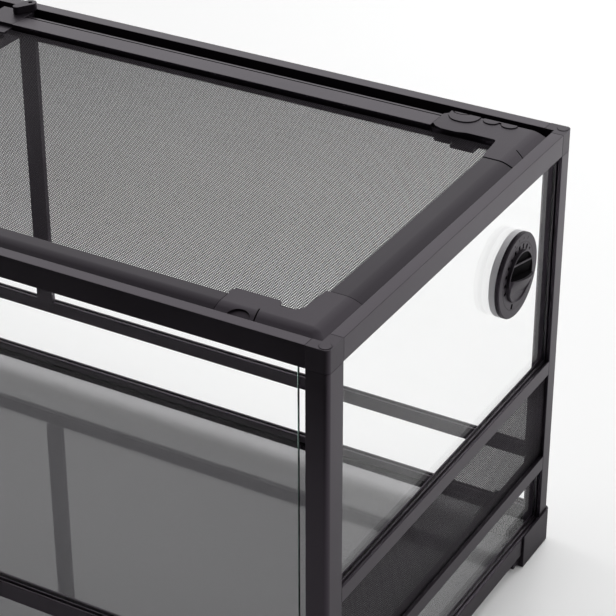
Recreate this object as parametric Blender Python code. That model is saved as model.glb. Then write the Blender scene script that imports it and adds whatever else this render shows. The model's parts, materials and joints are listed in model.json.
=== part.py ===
"""Glass terrarium: a knock-down frame with glass panes, two sliding doors and a lift-off mesh lid.

Metres, +Z up. X runs from left to right, the front is at -Y, and the feet stand on Z = 0 with
the origin under the middle of the frame. Most sizes are measured inwards from the frame's outer
planes, because every rail, pane and connector of such a frame is set out from there.
"""
import math

import bmesh
import bpy
from mathutils import Matrix, Vector

# Frame
WIDTH = 1.200
DEPTH = 0.450
HEIGHT = 0.455
CLEAR = 0.0003

# Levels and heights of the rails
RAIL_BOTTOM = 0.015
BOTTOM_RAIL_HEIGHT = 0.020
SIDE_BELT_LEVEL = 0.093
SIDE_BELT_HEIGHT = 0.015
FRONT_BELT_LEVEL = 0.097
FRONT_BELT_HEIGHT = 0.0175
VENT_RAIL_LEVEL = 0.202
VENT_RAIL_HEIGHT = 0.015
TOP_RAIL_HEIGHT = 0.021

# Rail sections, inwards from the outer plane
RAIL_DEPTH = 0.0123
BACK_RAIL_DEPTH = 0.0085
FRONT_BELT_DEPTH = 0.0135
RAIL_LIP = 0.0022
RAIL_GROOVE = 0.0022
RAIL_GROOVE_DEPTH = 0.002
SLOT_DEPTH = 0.005
SIDE_BAND = 0.012
FRONT_BAND = 0.0115
BACK_BAND = 0.013
SIDE_LID_LEDGE = 0.020
FRONT_LID_LEDGE = 0.024
BACK_LID_LEDGE = 0.036
LID_LEDGE_THICKNESS = 0.003

# Glass
GLASS = 0.004
GLASS_INSET = 0.0065
BACK_GLASS_INSET = 0.0022
FLOOR_GLASS = 0.0045
FLOOR_TOP = 0.0265
FLOOR_PLAY = 0.0005

# Corner posts and the connectors on them
POST_WIDTH = 0.0205
FRONT_POST_DEPTH = 0.024
BACK_POST_DEPTH = 0.0185
POST_RADIUS = 0.0045
MULLION_WIDTH = 0.020
MULLION_DEPTH = 0.006
PLUG_RADIUS = 0.0049
PLUG_INSET = 0.0061
PLUG_PROUD = 0.0004
ARC_STEPS = 6
CIRCLE_STEPS = 24
SHARP_ANGLE = 30.0

# Feet
FOOT_PROUD = 0.002
FOOT_HEIGHT = 0.037
FOOT_LENGTH = 0.058
FOOT_BASE_WIDTH = 0.024
FOOT_RADIUS = 0.006
FOOT_TONGUE_LENGTH = 0.070
FOOT_TONGUE_INSET = 0.003
FOOT_TONGUE_LIFT = 0.003
FOOT_TONGUE_DROP = 0.001

# Cross brace between the front and back top rails
BRACE_WIDTH = 0.020
BRACE_HEIGHT = 0.0108

# Sliding doors and their tracks
DOOR_GLASS = 0.003
TRACK_WIDTH = 0.0042
TRACK_PITCH = 0.0052
OUTER_TRACK = 0.0042
TRACK_DEPTH_BELOW = 0.0045
TRACK_DEPTH_ABOVE = 0.009
DOOR_TOP_PLAY = 0.003
DOOR_CLOSED_GAP = 0.0019
DOOR_HALF_OVERLAP = 0.009
DOOR_AJAR = 0.006

# Nets: the vent strips in the side walls and the lid's screen
NET_THICKNESS = 0.001
VENT_NET_INSET = 0.0039
NET_BORDER = 0.008
NET_BAR = 0.003
VENT_NET_COLUMNS = 14
VENT_NET_ROWS = 3
LID_NET_COLUMNS = 18
LID_NET_ROWS = 8

# Lid
LID_DEPTH = 0.0098
LID_PLAY = 0.0006
LID_SLOPE_EDGE = 0.0045
LID_FRONT_BREAK = 0.024
LID_FRONT_INNER = 0.039
LID_SIDE_BREAK = 0.025
LID_SIDE_INNER = 0.044
LID_BACK_OUTER = 0.0298
LID_RIDGE_WIDTH = 0.0027
LID_RIDGE_HEIGHT = 0.0083
LID_RIDGE_GROOVE = 0.0020
LID_RIDGE_GROOVE_HEIGHT = 0.0065
LID_BACK_TOP_WIDTH = 0.023
LID_BACK_STEP_HEIGHT = 0.0062
LID_BEAD_OFFSET = 0.008
LID_BEAD_WIDTH = 0.002
LID_BEAD_HEIGHT = 0.0075
LID_BACK_INNER = 0.072
LID_NET_LEVEL = 0.0042
LID_NET_SLOT = 0.005
LID_NET_HOLD = 0.0045
COUPLER_HALF_WIDTH = 0.0175

# Lid corner connectors, front
FRONT_LIMB = 0.112
FRONT_SIDE_LIMB = 0.081
FRONT_BULGE = 0.011
FRONT_BULGE_STEP = 0.0033
FRONT_BULGE_FLARE = 0.002
FRONT_BULGE_LENGTH = 0.045
FRONT_INNER_RADIUS = 0.010
FRONT_INNER_WIDER = 0.005
FRONT_SIDE_WIDER = 0.0035

# Lid corner connectors, back, and the cable inlets in them
BACK_CONNECTOR_OUTER = 0.0228
BACK_LIMB = 0.1143
BACK_SIDE_LIMB = 0.0925
BACK_CONNECTOR_INNER = 0.0568
BACK_OUTER_CHAMFER = 0.0073
BACK_INNER_CHAMFER = 0.0045
BACK_BULGE = 0.0027
BACK_BULGE_HALF = 0.0075
BACK_BULGE_END = 0.017
BACK_INNER_RADIUS = 0.004
BACK_INNER_WIDER = 0.004
BACK_SIDE_WIDER = 0.001
INLET_LARGE_WIDTH = 0.0296
INLET_LARGE_DEPTH = 0.0165
INLET_LARGE_RADIUS = 0.0133
INLET_HOLE_WIDTH = 0.0206
INLET_HOLE_DEPTH = 0.0121
INLET_HOLE_RADIUS = 0.001
INLET_SMALL_WIDTH = 0.0156
INLET_SMALL_DEPTH = 0.0083
INLET_SMALL_RADIUS = 0.0070
INLET_LARGE_PLACE = 0.0952
INLET_MIDDLE_PLACE = 0.0689
INLET_OUTER_PLACE = 0.0509
INLET_STRIP_WIDTH = 0.0022
INLET_STRIP_THICKNESS = 0.0012
COVER_THICKNESS = 0.002
COVER_GAP = 0.0004
COVER_SHELF = 0.0012

# Turning latch on the back coupler
LATCH_X = 0.011
LATCH_INSET = 0.017
LATCH_HUB_RADIUS = 0.0065
LATCH_TIP_RADIUS = 0.0045
LATCH_REACH = 0.0152
LATCH_TURN = 246.8
LATCH_HEIGHT = 0.0077
LATCH_DIMPLE_RADIUS = 0.0022
LATCH_DIMPLE_DEPTH = 0.0025
LATCH_BOSS_RADIUS = 0.0034

# Ventilation port in the right wall
PORT_INSET = 0.1125
PORT_DROP = 0.0977
PORT_RADIUS = 0.0402
PORT_SLEEVE_RADIUS = 0.0315
PORT_SLEEVE_WALL = 0.0015
PORT_SLEEVE_LIP = 0.0006
PORT_SLEEVE_INSIDE = 0.0117
PORT_FACE_THICKNESS = 0.0041
PORT_CHAMFER = 0.001
PORT_PLATE = 0.0018
DIAL_RADIUS = 0.0315
DIAL_THICKNESS = 0.0021
DIAL_SPINDLE_RADIUS = 0.0037
DIAL_HEAD_RADIUS = 0.006
DIAL_HEAD_THICKNESS = 0.0015
KNOB_RADIUS = 0.0246
KNOB_HEIGHT = 0.003
GRIP_LENGTH = 0.0434
GRIP_ABOVE = 0.0065
GRIP_BELOW = 0.0165
GRIP_CREST = 0.0012
GRIP_HEIGHT = 0.0093
GRIP_TILT = math.radians(-13.0)
GRIP_STATIONS = 12
GRIP_TIP = 0.6
VENT_SLOT_COUNT = 9
VENT_SLOT_INNER = 0.0252
VENT_SLOT_LENGTH = 0.0046
VENT_SLOT_WIDTH = 0.003
VENT_SLOT_FIRST = math.radians(56.0)
VENT_SLOT_STEP = math.radians(17.0)
ROUND_STEPS = 40

# Levels worked out from the sizes above
HALF_WIDTH = WIDTH / 2
HALF_DEPTH = DEPTH / 2
TOP_RAIL_LEVEL = HEIGHT - TOP_RAIL_HEIGHT
BOTTOM_RAIL_TOP = RAIL_BOTTOM + BOTTOM_RAIL_HEIGHT
PORT_LEVEL = HEIGHT - PORT_DROP
LEDGE_TOP = TOP_RAIL_HEIGHT - LID_DEPTH
LEDGE_BOTTOM = LEDGE_TOP - LID_LEDGE_THICKNESS
LID_LEVEL = HEIGHT - LID_DEPTH + CLEAR
LID_HEIGHT = LID_DEPTH - CLEAR
POST_SECTIONS = {-1: (POST_WIDTH, FRONT_POST_DEPTH), 1: (POST_WIDTH, BACK_POST_DEPTH)}
END_NAMES = {-1: "front", 1: "back"}
SIDE_NAMES = {-1: "left", 1: "right"}
WALLS = {
    "front": ((0.0, -HALF_DEPTH, 0.0), 0.0),
    "right": ((HALF_WIDTH, 0.0, 0.0), 90.0),
    "back": ((0.0, HALF_DEPTH, 0.0), 180.0),
    "left": ((-HALF_WIDTH, 0.0, 0.0), 270.0),
}


# Materials

def make_material(name, colour, roughness, metallic=0.0, alpha=1.0):
    material = bpy.data.materials.new(name)
    material.use_nodes = True
    shader = material.node_tree.nodes["Principled BSDF"]
    shader.inputs["Base Color"].default_value = (*colour, 1.0)
    shader.inputs["Roughness"].default_value = roughness
    shader.inputs["Metallic"].default_value = metallic
    shader.inputs["Alpha"].default_value = alpha
    material.diffuse_color = (*colour, alpha)
    return material


def rail_material(name):
    return make_material(name, (0.035, 0.034, 0.036), 0.42, 0.1)


def moulded_material(name):
    return make_material(name, (0.045, 0.044, 0.047), 0.50)


def net_material(name):
    return make_material(name, (0.030, 0.030, 0.032), 0.45, 0.4)


def glass_material(name):
    return make_material(name, (0.80, 0.88, 0.85), 0.02, 0.0, 0.25)


def smoked_glass_material(name):
    return make_material(name, (0.25, 0.26, 0.26), 0.04, 0.0, 0.6)


def rim_material(name):
    return make_material(name, (0.30, 0.30, 0.31), 0.35)


# Shape helpers

def add_object(name, mesh, material_maker, location=(0.0, 0.0, 0.0), turn=0.0):
    piece = bpy.data.objects.new(name, mesh)
    bpy.context.scene.collection.objects.link(piece)
    piece.location = location
    piece.rotation_euler = (0.0, 0.0, math.radians(turn))
    mesh.materials.append(material_maker(name))


def prism_mesh(outline, axis, low, high):
    """Closed outline in the two other axes, in XYZ order, pushed from low to high along axis."""
    place = {
        "X": lambda p, t: (t, p[0], p[1]),
        "Y": lambda p, t: (p[0], t, p[1]),
        "Z": lambda p, t: (p[0], p[1], t),
    }[axis]
    shape = bmesh.new()
    base = shape.faces.new([shape.verts.new(place(point, low)) for point in outline])
    pushed = bmesh.ops.extrude_face_region(shape, geom=[base])["geom"]
    offset = Vector(place((0.0, 0.0), high - low))
    moved = [item for item in pushed if isinstance(item, bmesh.types.BMVert)]
    bmesh.ops.translate(shape, verts=moved, vec=offset)
    bmesh.ops.recalc_face_normals(shape, faces=shape.faces)
    mesh = bpy.data.meshes.new("prism")
    shape.to_mesh(mesh)
    shape.free()
    return mesh


def box_mesh(low, high):
    outline = [(low[0], low[1]), (high[0], low[1]), (high[0], high[1]), (low[0], high[1])]
    return prism_mesh(outline, "Z", low[2], high[2])


def ring_mesh(profile, steps):
    """Closed profile of (x, radius) points turned round the X axis."""
    shape = bmesh.new()
    rings = []
    for step in range(steps):
        angle = math.tau * step / steps
        rings.append([
            shape.verts.new((x, r * math.cos(angle), r * math.sin(angle))) for x, r in profile
        ])
    count = len(profile)
    for step in range(steps):
        ring = rings[step]
        following = rings[(step + 1) % steps]
        for index in range(count):
            after = (index + 1) % count
            shape.faces.new((ring[index], ring[after], following[after], following[index]))
    bmesh.ops.recalc_face_normals(shape, faces=shape.faces)
    mesh = bpy.data.meshes.new("ring")
    shape.to_mesh(mesh)
    shape.free()
    return mesh


def boolean(mesh, tool_mesh, operation):
    """Exact union or difference of two meshes, as a new mesh."""
    piece = bpy.data.objects.new("work", mesh)
    tool = bpy.data.objects.new("tool", tool_mesh)
    for item in (piece, tool):
        bpy.context.scene.collection.objects.link(item)
    modifier = piece.modifiers.new("boolean", "BOOLEAN")
    modifier.operation = operation
    modifier.object = tool
    modifier.solver = "EXACT"
    bpy.context.view_layer.update()
    depsgraph = bpy.context.evaluated_depsgraph_get()
    result = bpy.data.meshes.new_from_object(piece.evaluated_get(depsgraph))
    for item in (piece, tool):
        bpy.data.objects.remove(item)
    for used in (mesh, tool_mesh):
        bpy.data.meshes.remove(used)
    return result


def cut(mesh, *tools):
    for tool in tools:
        mesh = boolean(mesh, tool, "DIFFERENCE")
    return mesh


def fuse(mesh, *tools):
    for tool in tools:
        mesh = boolean(mesh, tool, "UNION")
    return mesh


def shift(location):
    return Matrix.Translation(location)


def arc(centre, radius, start, end, steps):
    points = []
    for step in range(steps + 1):
        angle = math.radians(start + (end - start) * step / steps)
        points.append((centre[0] + radius * math.cos(angle), centre[1] + radius * math.sin(angle)))
    return points


def circle(centre, radius, steps=CIRCLE_STEPS):
    return arc(centre, radius, 0.0, 360.0, steps)[:-1]


def smooth_round(mesh):
    mesh.shade_smooth()
    mesh.set_sharp_from_angle(angle=math.radians(SHARP_ANGLE))
    return mesh


# Rails: sections are (inwards, up) points, pushed along a wall of the frame

def slot_points(face, near, far, depth):
    """Points of a slot cut into a level face at height face, from near to far; depth is signed."""
    return [(near, face), (near, face + depth), (far, face + depth), (far, face)]


def pane_slot(inset, thickness):
    return (inset - CLEAR, inset + thickness + CLEAR)


GLASS_SLOT = pane_slot(GLASS_INSET, GLASS)
BACK_GLASS_SLOT = pane_slot(BACK_GLASS_INSET, GLASS)
NET_SLOT = pane_slot(VENT_NET_INSET, NET_THICKNESS)


def rail_section(depth, height, above=None, below=None, groove=False, inside=None):
    points = [(0.0, 0.0), (0.0, height)]
    if groove:
        points += slot_points(height, RAIL_LIP, RAIL_LIP + RAIL_GROOVE, -RAIL_GROOVE_DEPTH)
    if above:
        points += slot_points(height, above[0], above[1], -SLOT_DEPTH)
    points.append((depth, height))
    if inside:
        root = depth - SLOT_DEPTH
        points += [(depth, inside[1]), (root, inside[1]), (root, inside[0]), (depth, inside[0])]
    points.append((depth, 0.0))
    if below:
        points += slot_points(0.0, below[1], below[0], SLOT_DEPTH)
    return points


def wall_rail(name, wall, section, start, end, level, notches=()):
    location, turn = WALLS[wall]
    mesh = cut(prism_mesh(section, "X", start, end), *notches)
    add_object(name, mesh, rail_material, (location[0], location[1], level), turn)


def side_span(wall):
    """Reach of a side rail between the front and the back post, along the wall's own X."""
    front = -HALF_DEPTH + FRONT_POST_DEPTH + CLEAR
    back = HALF_DEPTH - BACK_POST_DEPTH - CLEAR
    return (front, back) if wall == "right" else (-back, -front)


def end_span():
    reach = HALF_WIDTH - POST_WIDTH - CLEAR
    return (-reach, reach)


def build_bottom_rails():
    floor_slot = pane_slot(FLOOR_TOP - FLOOR_GLASS - RAIL_BOTTOM, FLOOR_GLASS)
    side = rail_section(
        RAIL_DEPTH, BOTTOM_RAIL_HEIGHT, GLASS_SLOT, groove=True, inside=floor_slot
    )
    back = rail_section(
        BACK_RAIL_DEPTH, BOTTOM_RAIL_HEIGHT, BACK_GLASS_SLOT, inside=floor_slot
    )
    wall_rail("front_bottom_rail", "front", side, *end_span(), RAIL_BOTTOM)
    wall_rail("back_bottom_rail", "back", back, *end_span(), RAIL_BOTTOM)
    for wall in ("left", "right"):
        wall_rail(f"{wall}_bottom_rail", wall, side, *side_span(wall), RAIL_BOTTOM)


def track_edges(track):
    centre = OUTER_TRACK + track * TRACK_PITCH
    return (centre - TRACK_WIDTH / 2, centre + TRACK_WIDTH / 2)


def build_front_belt():
    top = FRONT_BELT_HEIGHT
    section = [(0.0, 0.0), (0.0, top)]
    for track in (0, 1):
        section += slot_points(top, *track_edges(track), -TRACK_DEPTH_BELOW)
    section += [(FRONT_BELT_DEPTH, top), (FRONT_BELT_DEPTH, 0.0)]
    section += slot_points(0.0, GLASS_SLOT[1], GLASS_SLOT[0], SLOT_DEPTH)
    wall_rail("front_belt", "front", section, *end_span(), FRONT_BELT_LEVEL)


def build_belts():
    side = rail_section(RAIL_DEPTH, SIDE_BELT_HEIGHT, NET_SLOT, GLASS_SLOT)
    back = rail_section(BACK_RAIL_DEPTH, SIDE_BELT_HEIGHT, BACK_GLASS_SLOT, BACK_GLASS_SLOT)
    wall_rail("back_belt", "back", back, *end_span(), SIDE_BELT_LEVEL)
    for wall in ("left", "right"):
        wall_rail(f"{wall}_belt", wall, side, *side_span(wall), SIDE_BELT_LEVEL)
    build_front_belt()


def build_vent_rails():
    section = rail_section(RAIL_DEPTH, VENT_RAIL_HEIGHT, GLASS_SLOT, NET_SLOT, groove=True)
    for wall in ("left", "right"):
        wall_rail(f"{wall}_vent_rail", wall, section, *side_span(wall), VENT_RAIL_LEVEL)


def top_section(band, ledge, slots, slot_depth):
    """Top rail: a band of full height with slots under it, and a thin ledge that carries the lid."""
    points = [(0.0, 0.0), (0.0, TOP_RAIL_HEIGHT), (band, TOP_RAIL_HEIGHT), (band, LEDGE_TOP)]
    points += [(ledge, LEDGE_TOP), (ledge, LEDGE_BOTTOM), (band, LEDGE_BOTTOM), (band, 0.0)]
    for near, far in reversed(slots):
        points += slot_points(0.0, far, near, slot_depth)
    return points


def build_top_rails():
    side = top_section(SIDE_BAND, SIDE_LID_LEDGE, [GLASS_SLOT], SLOT_DEPTH)
    for wall in ("left", "right"):
        wall_rail(f"top_{wall}_rail", wall, side, *side_span(wall), TOP_RAIL_LEVEL)
    tracks = [track_edges(0), track_edges(1)]
    front = [(0.0, 0.0), (0.0, TOP_RAIL_HEIGHT), (FRONT_BAND, TOP_RAIL_HEIGHT)]
    front += [(FRONT_BAND, LEDGE_TOP), (FRONT_LID_LEDGE, LEDGE_TOP)]
    front += [(FRONT_LID_LEDGE, LEDGE_BOTTOM), (FRONT_BELT_DEPTH, LEDGE_BOTTOM)]
    front.append((FRONT_BELT_DEPTH, 0.0))
    for near, far in reversed(tracks):
        front += slot_points(0.0, far, near, TRACK_DEPTH_ABOVE)
    wall_rail("top_front_rail", "front", front, *end_span(), TOP_RAIL_LEVEL)
    back = top_section(BACK_BAND, BACK_LID_LEDGE, [BACK_GLASS_SLOT], SLOT_DEPTH)
    notches = [ledge_notch(lobe) for side in (-1, 1) for lobe in all_lobes(side)]
    wall_rail("top_back_rail", "back", back, *end_span(), TOP_RAIL_LEVEL, notches)


def build_brace():
    front = -HALF_DEPTH + FRONT_BELT_DEPTH + CLEAR
    back = HALF_DEPTH - BACK_BAND - CLEAR
    half = BRACE_WIDTH / 2
    mesh = box_mesh((-half, front, -BRACE_HEIGHT), (half, back, 0.0))
    level = TOP_RAIL_LEVEL + LEDGE_BOTTOM - CLEAR
    add_object("top_crossbar", mesh, rail_material, (0.0, 0.0, level))


# Posts and corner pieces: sections are (from the side plane, from the end plane) points

def to_corner(points, side, end):
    return [(-side * across, -end * along) for across, along in points]


def corner_location(side, end, level):
    return (side * HALF_WIDTH, end * HALF_DEPTH, level)


def post_outline(end, slotted):
    width, depth = POST_SECTIONS[end]
    points = arc((POST_RADIUS, POST_RADIUS), POST_RADIUS, 180.0, 270.0, ARC_STEPS)
    points.append((width, 0.0))
    if slotted:
        near, far = GLASS_SLOT if end < 0 else BACK_GLASS_SLOT
        groove = width - SLOT_DEPTH
        points += [(width, near), (groove, near), (groove, far), (width, far)]
    points.append((width, depth))
    if slotted:
        for near, far in (GLASS_SLOT, NET_SLOT):
            points += slot_points(depth, far, near, -SLOT_DEPTH)
    points.append((0.0, depth))
    return points


def band_outline(end):
    width, depth = POST_SECTIONS[end]
    band = FRONT_BAND if end < 0 else BACK_BAND
    points = arc((POST_RADIUS, POST_RADIUS), POST_RADIUS, 180.0, 270.0, ARC_STEPS)
    points += [(width, 0.0), (width, band), (SIDE_BAND, band), (SIDE_BAND, depth), (0.0, depth)]
    return points


def build_posts():
    for end in (-1, 1):
        for side in (-1, 1):
            outline = to_corner(post_outline(end, True), side, end)
            mesh = prism_mesh(outline, "Z", RAIL_BOTTOM, TOP_RAIL_LEVEL - CLEAR)
            name = f"{END_NAMES[end]}_{SIDE_NAMES[side]}_post"
            add_object(name, smooth_round(mesh), rail_material, corner_location(side, end, 0.0))


def build_top_corners():
    """Connectors on the posts, each with a round cap standing a little proud of its top."""
    for end in (-1, 1):
        for side in (-1, 1):
            slotted = to_corner(post_outline(end, True), side, end)
            plain = to_corner(post_outline(end, False), side, end)
            band = to_corner(band_outline(end), side, end)
            mesh = prism_mesh(slotted, "Z", 0.0, SLOT_DEPTH)
            mesh = fuse(
                mesh,
                prism_mesh(plain, "Z", SLOT_DEPTH, LEDGE_TOP),
                prism_mesh(band, "Z", LEDGE_TOP, TOP_RAIL_HEIGHT),
            )
            centre = to_corner([(PLUG_INSET, PLUG_INSET)], side, end)[0]
            cap = circle(centre, PLUG_RADIUS)
            mesh = fuse(mesh, prism_mesh(cap, "Z", LEDGE_TOP, TOP_RAIL_HEIGHT + PLUG_PROUD))
            name = f"top_{END_NAMES[end]}_{SIDE_NAMES[side]}_corner"
            location = corner_location(side, end, TOP_RAIL_LEVEL)
            add_object(name, smooth_round(mesh), moulded_material, location)


def angle_outline(outer, inner, length, radius):
    """L shape round a corner, from outer to inner; a thin wall is round on its inside too."""
    centre = (outer + radius, outer + radius)
    points = arc(centre, radius, 180.0, 270.0, ARC_STEPS)
    points += [(length, outer), (length, inner)]
    if inner < outer + radius:
        points += arc(centre, outer + radius - inner, 270.0, 180.0, ARC_STEPS)
    else:
        points.append((inner, inner))
    points += [(inner, length), (outer, length)]
    return points


def build_feet():
    base_top = RAIL_BOTTOM - CLEAR
    for end in (-1, 1):
        for side in (-1, 1):
            tongue = (FOOT_TONGUE_INSET, FOOT_BASE_WIDTH - FOOT_TONGUE_INSET, FOOT_TONGUE_LENGTH)
            shapes = (
                ((-FOOT_PROUD, FOOT_BASE_WIDTH, FOOT_LENGTH), 0.0, base_top),
                ((-FOOT_PROUD, -CLEAR, FOOT_LENGTH), base_top, FOOT_HEIGHT),
                (tongue, FOOT_TONGUE_LIFT, base_top - FOOT_TONGUE_DROP),
            )
            meshes = []
            for sizes, low, high in shapes:
                outline = to_corner(angle_outline(*sizes, FOOT_RADIUS), side, end)
                meshes.append(prism_mesh(outline, "Z", low, high))
            mesh = smooth_round(fuse(*meshes))
            name = f"foot_{END_NAMES[end]}_{SIDE_NAMES[side]}"
            add_object(name, mesh, moulded_material, corner_location(side, end, 0.0))


def build_mullion():
    """Upright in the middle of the back, in front of the upper pane."""
    half = MULLION_WIDTH / 2
    near = BACK_GLASS_INSET + GLASS + CLEAR
    low = SIDE_BELT_LEVEL + SIDE_BELT_HEIGHT + CLEAR
    mesh = box_mesh((-half, near, low), (half, near + MULLION_DEPTH, TOP_RAIL_LEVEL - CLEAR))
    location, turn = WALLS["back"]
    add_object("back_mullion", mesh, rail_material, location, turn)


# Panes

def wall_pane(name, wall, inset, start, end, low, high, holes=()):
    location, turn = WALLS[wall]
    mesh = cut(box_mesh((start, inset, low), (end, inset + GLASS, high)), *holes)
    add_object(name, smooth_round(mesh), glass_material, location, turn)


def held(low, high):
    """A pane's reach into the slots of the pieces that stop at low and at high."""
    grip = SLOT_DEPTH - CLEAR
    return (low - grip, high + grip)


def side_pane_span(wall):
    start, end = side_span(wall)
    return held(start - CLEAR, end + CLEAR)


def port_hole():
    """Hole for the port's sleeve, in the right wall's own axes."""
    centre = (HALF_DEPTH - PORT_INSET, PORT_LEVEL)
    outline = circle(centre, PORT_SLEEVE_RADIUS + CLEAR, ROUND_STEPS)
    return prism_mesh(outline, "Y", 0.0, GLASS_INSET + 2 * GLASS)


def build_side_panes():
    lower = held(BOTTOM_RAIL_TOP, SIDE_BELT_LEVEL)
    upper = held(VENT_RAIL_LEVEL + VENT_RAIL_HEIGHT, TOP_RAIL_LEVEL)
    for wall in ("left", "right"):
        holes = [port_hole()] if wall == "right" else []
        span = side_pane_span(wall)
        wall_pane(f"{wall}_upper_glass", wall, GLASS_INSET, *span, *upper, holes)
        wall_pane(f"{wall}_lower_glass", wall, GLASS_INSET, *span, *lower)


def build_end_panes():
    reach = HALF_WIDTH - POST_WIDTH
    lower_back = held(BOTTOM_RAIL_TOP, SIDE_BELT_LEVEL)
    lower_front = held(BOTTOM_RAIL_TOP, FRONT_BELT_LEVEL)
    wide = held(-reach, reach)
    wall_pane("back_lower_glass", "back", BACK_GLASS_INSET, *wide, *lower_back)
    wall_pane("front_lower_glass", "front", GLASS_INSET, *wide, *lower_front)
    upper = held(SIDE_BELT_LEVEL + SIDE_BELT_HEIGHT, TOP_RAIL_LEVEL)
    wall_pane("back_upper_glass", "back", BACK_GLASS_INSET, *wide, *upper)


def build_floor():
    """Floor pane held in slots of the bottom rails, notched round the posts."""
    grip = SLOT_DEPTH - CLEAR
    right = HALF_WIDTH - RAIL_DEPTH + grip
    notch = HALF_WIDTH - POST_WIDTH - FLOOR_PLAY
    front = -HALF_DEPTH + RAIL_DEPTH - grip
    front_notch = -HALF_DEPTH + FRONT_POST_DEPTH + FLOOR_PLAY
    back = HALF_DEPTH - BACK_RAIL_DEPTH + grip
    back_notch = HALF_DEPTH - BACK_POST_DEPTH - FLOOR_PLAY
    half = [(notch, front), (notch, front_notch), (right, front_notch)]
    half += [(right, back_notch), (notch, back_notch), (notch, back)]
    outline = half + [(-x, y) for x, y in reversed(half)]
    mesh = prism_mesh(outline, "Z", -FLOOR_GLASS, 0.0)
    add_object("floor_glass", mesh, smoked_glass_material, (0.0, 0.0, FLOOR_TOP))


def build_doors():
    """Two doors in the two tracks; the right one, in the outer track, stands ajar."""
    width = HALF_WIDTH - POST_WIDTH - DOOR_CLOSED_GAP + DOOR_HALF_OVERLAP
    low = FRONT_BELT_LEVEL + FRONT_BELT_HEIGHT - TRACK_DEPTH_BELOW + CLEAR
    high = TOP_RAIL_LEVEL + TRACK_DEPTH_ABOVE - DOOR_TOP_PLAY
    middle = HALF_WIDTH - POST_WIDTH - DOOR_CLOSED_GAP - width / 2
    for name, track, centre in (
        ("right_door", 0, middle - DOOR_AJAR),
        ("left_door", 1, -middle),
    ):
        inset = OUTER_TRACK + track * TRACK_PITCH - DOOR_GLASS / 2
        mesh = box_mesh((-width / 2, 0.0, 0.0), (width / 2, DOOR_GLASS, high - low))
        add_object(name, mesh, glass_material, (centre, -HALF_DEPTH + inset, low))


# Nets

def net_mesh(width, height, columns, rows, place):
    """Flat net with a border, as one plate with columns times rows gaps; place maps (s, t, depth)."""
    def lines(length, count):
        gap = (length - 2 * NET_BORDER - (count - 1) * NET_BAR) / count
        marks = [0.0]
        for index in range(count):
            start = NET_BORDER + index * (gap + NET_BAR)
            marks += [start, start + gap]
        return marks + [length]

    across = lines(width, columns)
    along = lines(height, rows)
    shape = bmesh.new()
    grid = [[shape.verts.new(place(s, t, 0.0)) for t in along] for s in across]
    faces = []
    for i in range(len(across) - 1):
        for j in range(len(along) - 1):
            if i % 2 == 1 and j % 2 == 1:
                continue
            corners = (grid[i][j], grid[i + 1][j], grid[i + 1][j + 1], grid[i][j + 1])
            faces.append(shape.faces.new(corners))
    pushed = bmesh.ops.extrude_face_region(shape, geom=faces)["geom"]
    moved = [item for item in pushed if isinstance(item, bmesh.types.BMVert)]
    step = Vector(place(0.0, 0.0, NET_THICKNESS)) - Vector(place(0.0, 0.0, 0.0))
    bmesh.ops.translate(shape, verts=moved, vec=step)
    bmesh.ops.recalc_face_normals(shape, faces=shape.faces)
    mesh = bpy.data.meshes.new("net")
    shape.to_mesh(mesh)
    shape.free()
    return mesh


def build_vent_nets():
    low, high = held(SIDE_BELT_LEVEL + SIDE_BELT_HEIGHT, VENT_RAIL_LEVEL)
    for wall in ("left", "right"):
        start, end = side_pane_span(wall)
        mesh = net_mesh(
            end - start, high - low, VENT_NET_COLUMNS, VENT_NET_ROWS,
            lambda s, t, d, start=start: (start + s, VENT_NET_INSET + d, low + t),
        )
        location, turn = WALLS[wall]
        add_object(f"{wall}_vent_net", mesh, net_material, location, turn)


def lid_net_box():
    """Low and high corners of the lid's net, in the frame's axes."""
    reach = HALF_WIDTH - LID_SIDE_INNER + LID_NET_HOLD
    front = -HALF_DEPTH + LID_FRONT_INNER - LID_NET_HOLD
    back = HALF_DEPTH - LID_BACK_INNER + LID_NET_HOLD
    level = LID_LEVEL + LID_NET_LEVEL
    return (-reach, front, level), (reach, back, level + NET_THICKNESS)


def build_lid_net():
    low, high = lid_net_box()
    mesh = net_mesh(
        high[0] - low[0], high[1] - low[1], LID_NET_COLUMNS, LID_NET_ROWS,
        lambda s, t, d: (low[0] + s, low[1] + t, low[2] + d),
    )
    add_object("lid_net", mesh, net_material)


def net_cutter():
    """The space that the lid's net and its slot take out of a connector."""
    low, high = lid_net_box()
    slack = LID_NET_SLOT - LID_NET_HOLD
    return box_mesh(
        (low[0] - slack, low[1] - slack, low[2] - CLEAR),
        (high[0] + slack, high[1] + slack, high[2] + CLEAR),
    )


# Lid

def net_slot(inner):
    """Slot for the net in a lid rail's inner face, from its top down."""
    top = LID_NET_LEVEL + NET_THICKNESS + CLEAR
    bottom = LID_NET_LEVEL - CLEAR
    root = inner - LID_NET_SLOT
    return [(inner, top), (root, top), (root, bottom), (inner, bottom), (inner, 0.0)]


def sloped_section(edge, ridge, inner):
    points = [(edge, 0.0), (edge, LID_SLOPE_EDGE), (ridge, LID_HEIGHT), (inner, LID_HEIGHT)]
    return points + net_slot(inner)


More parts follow.
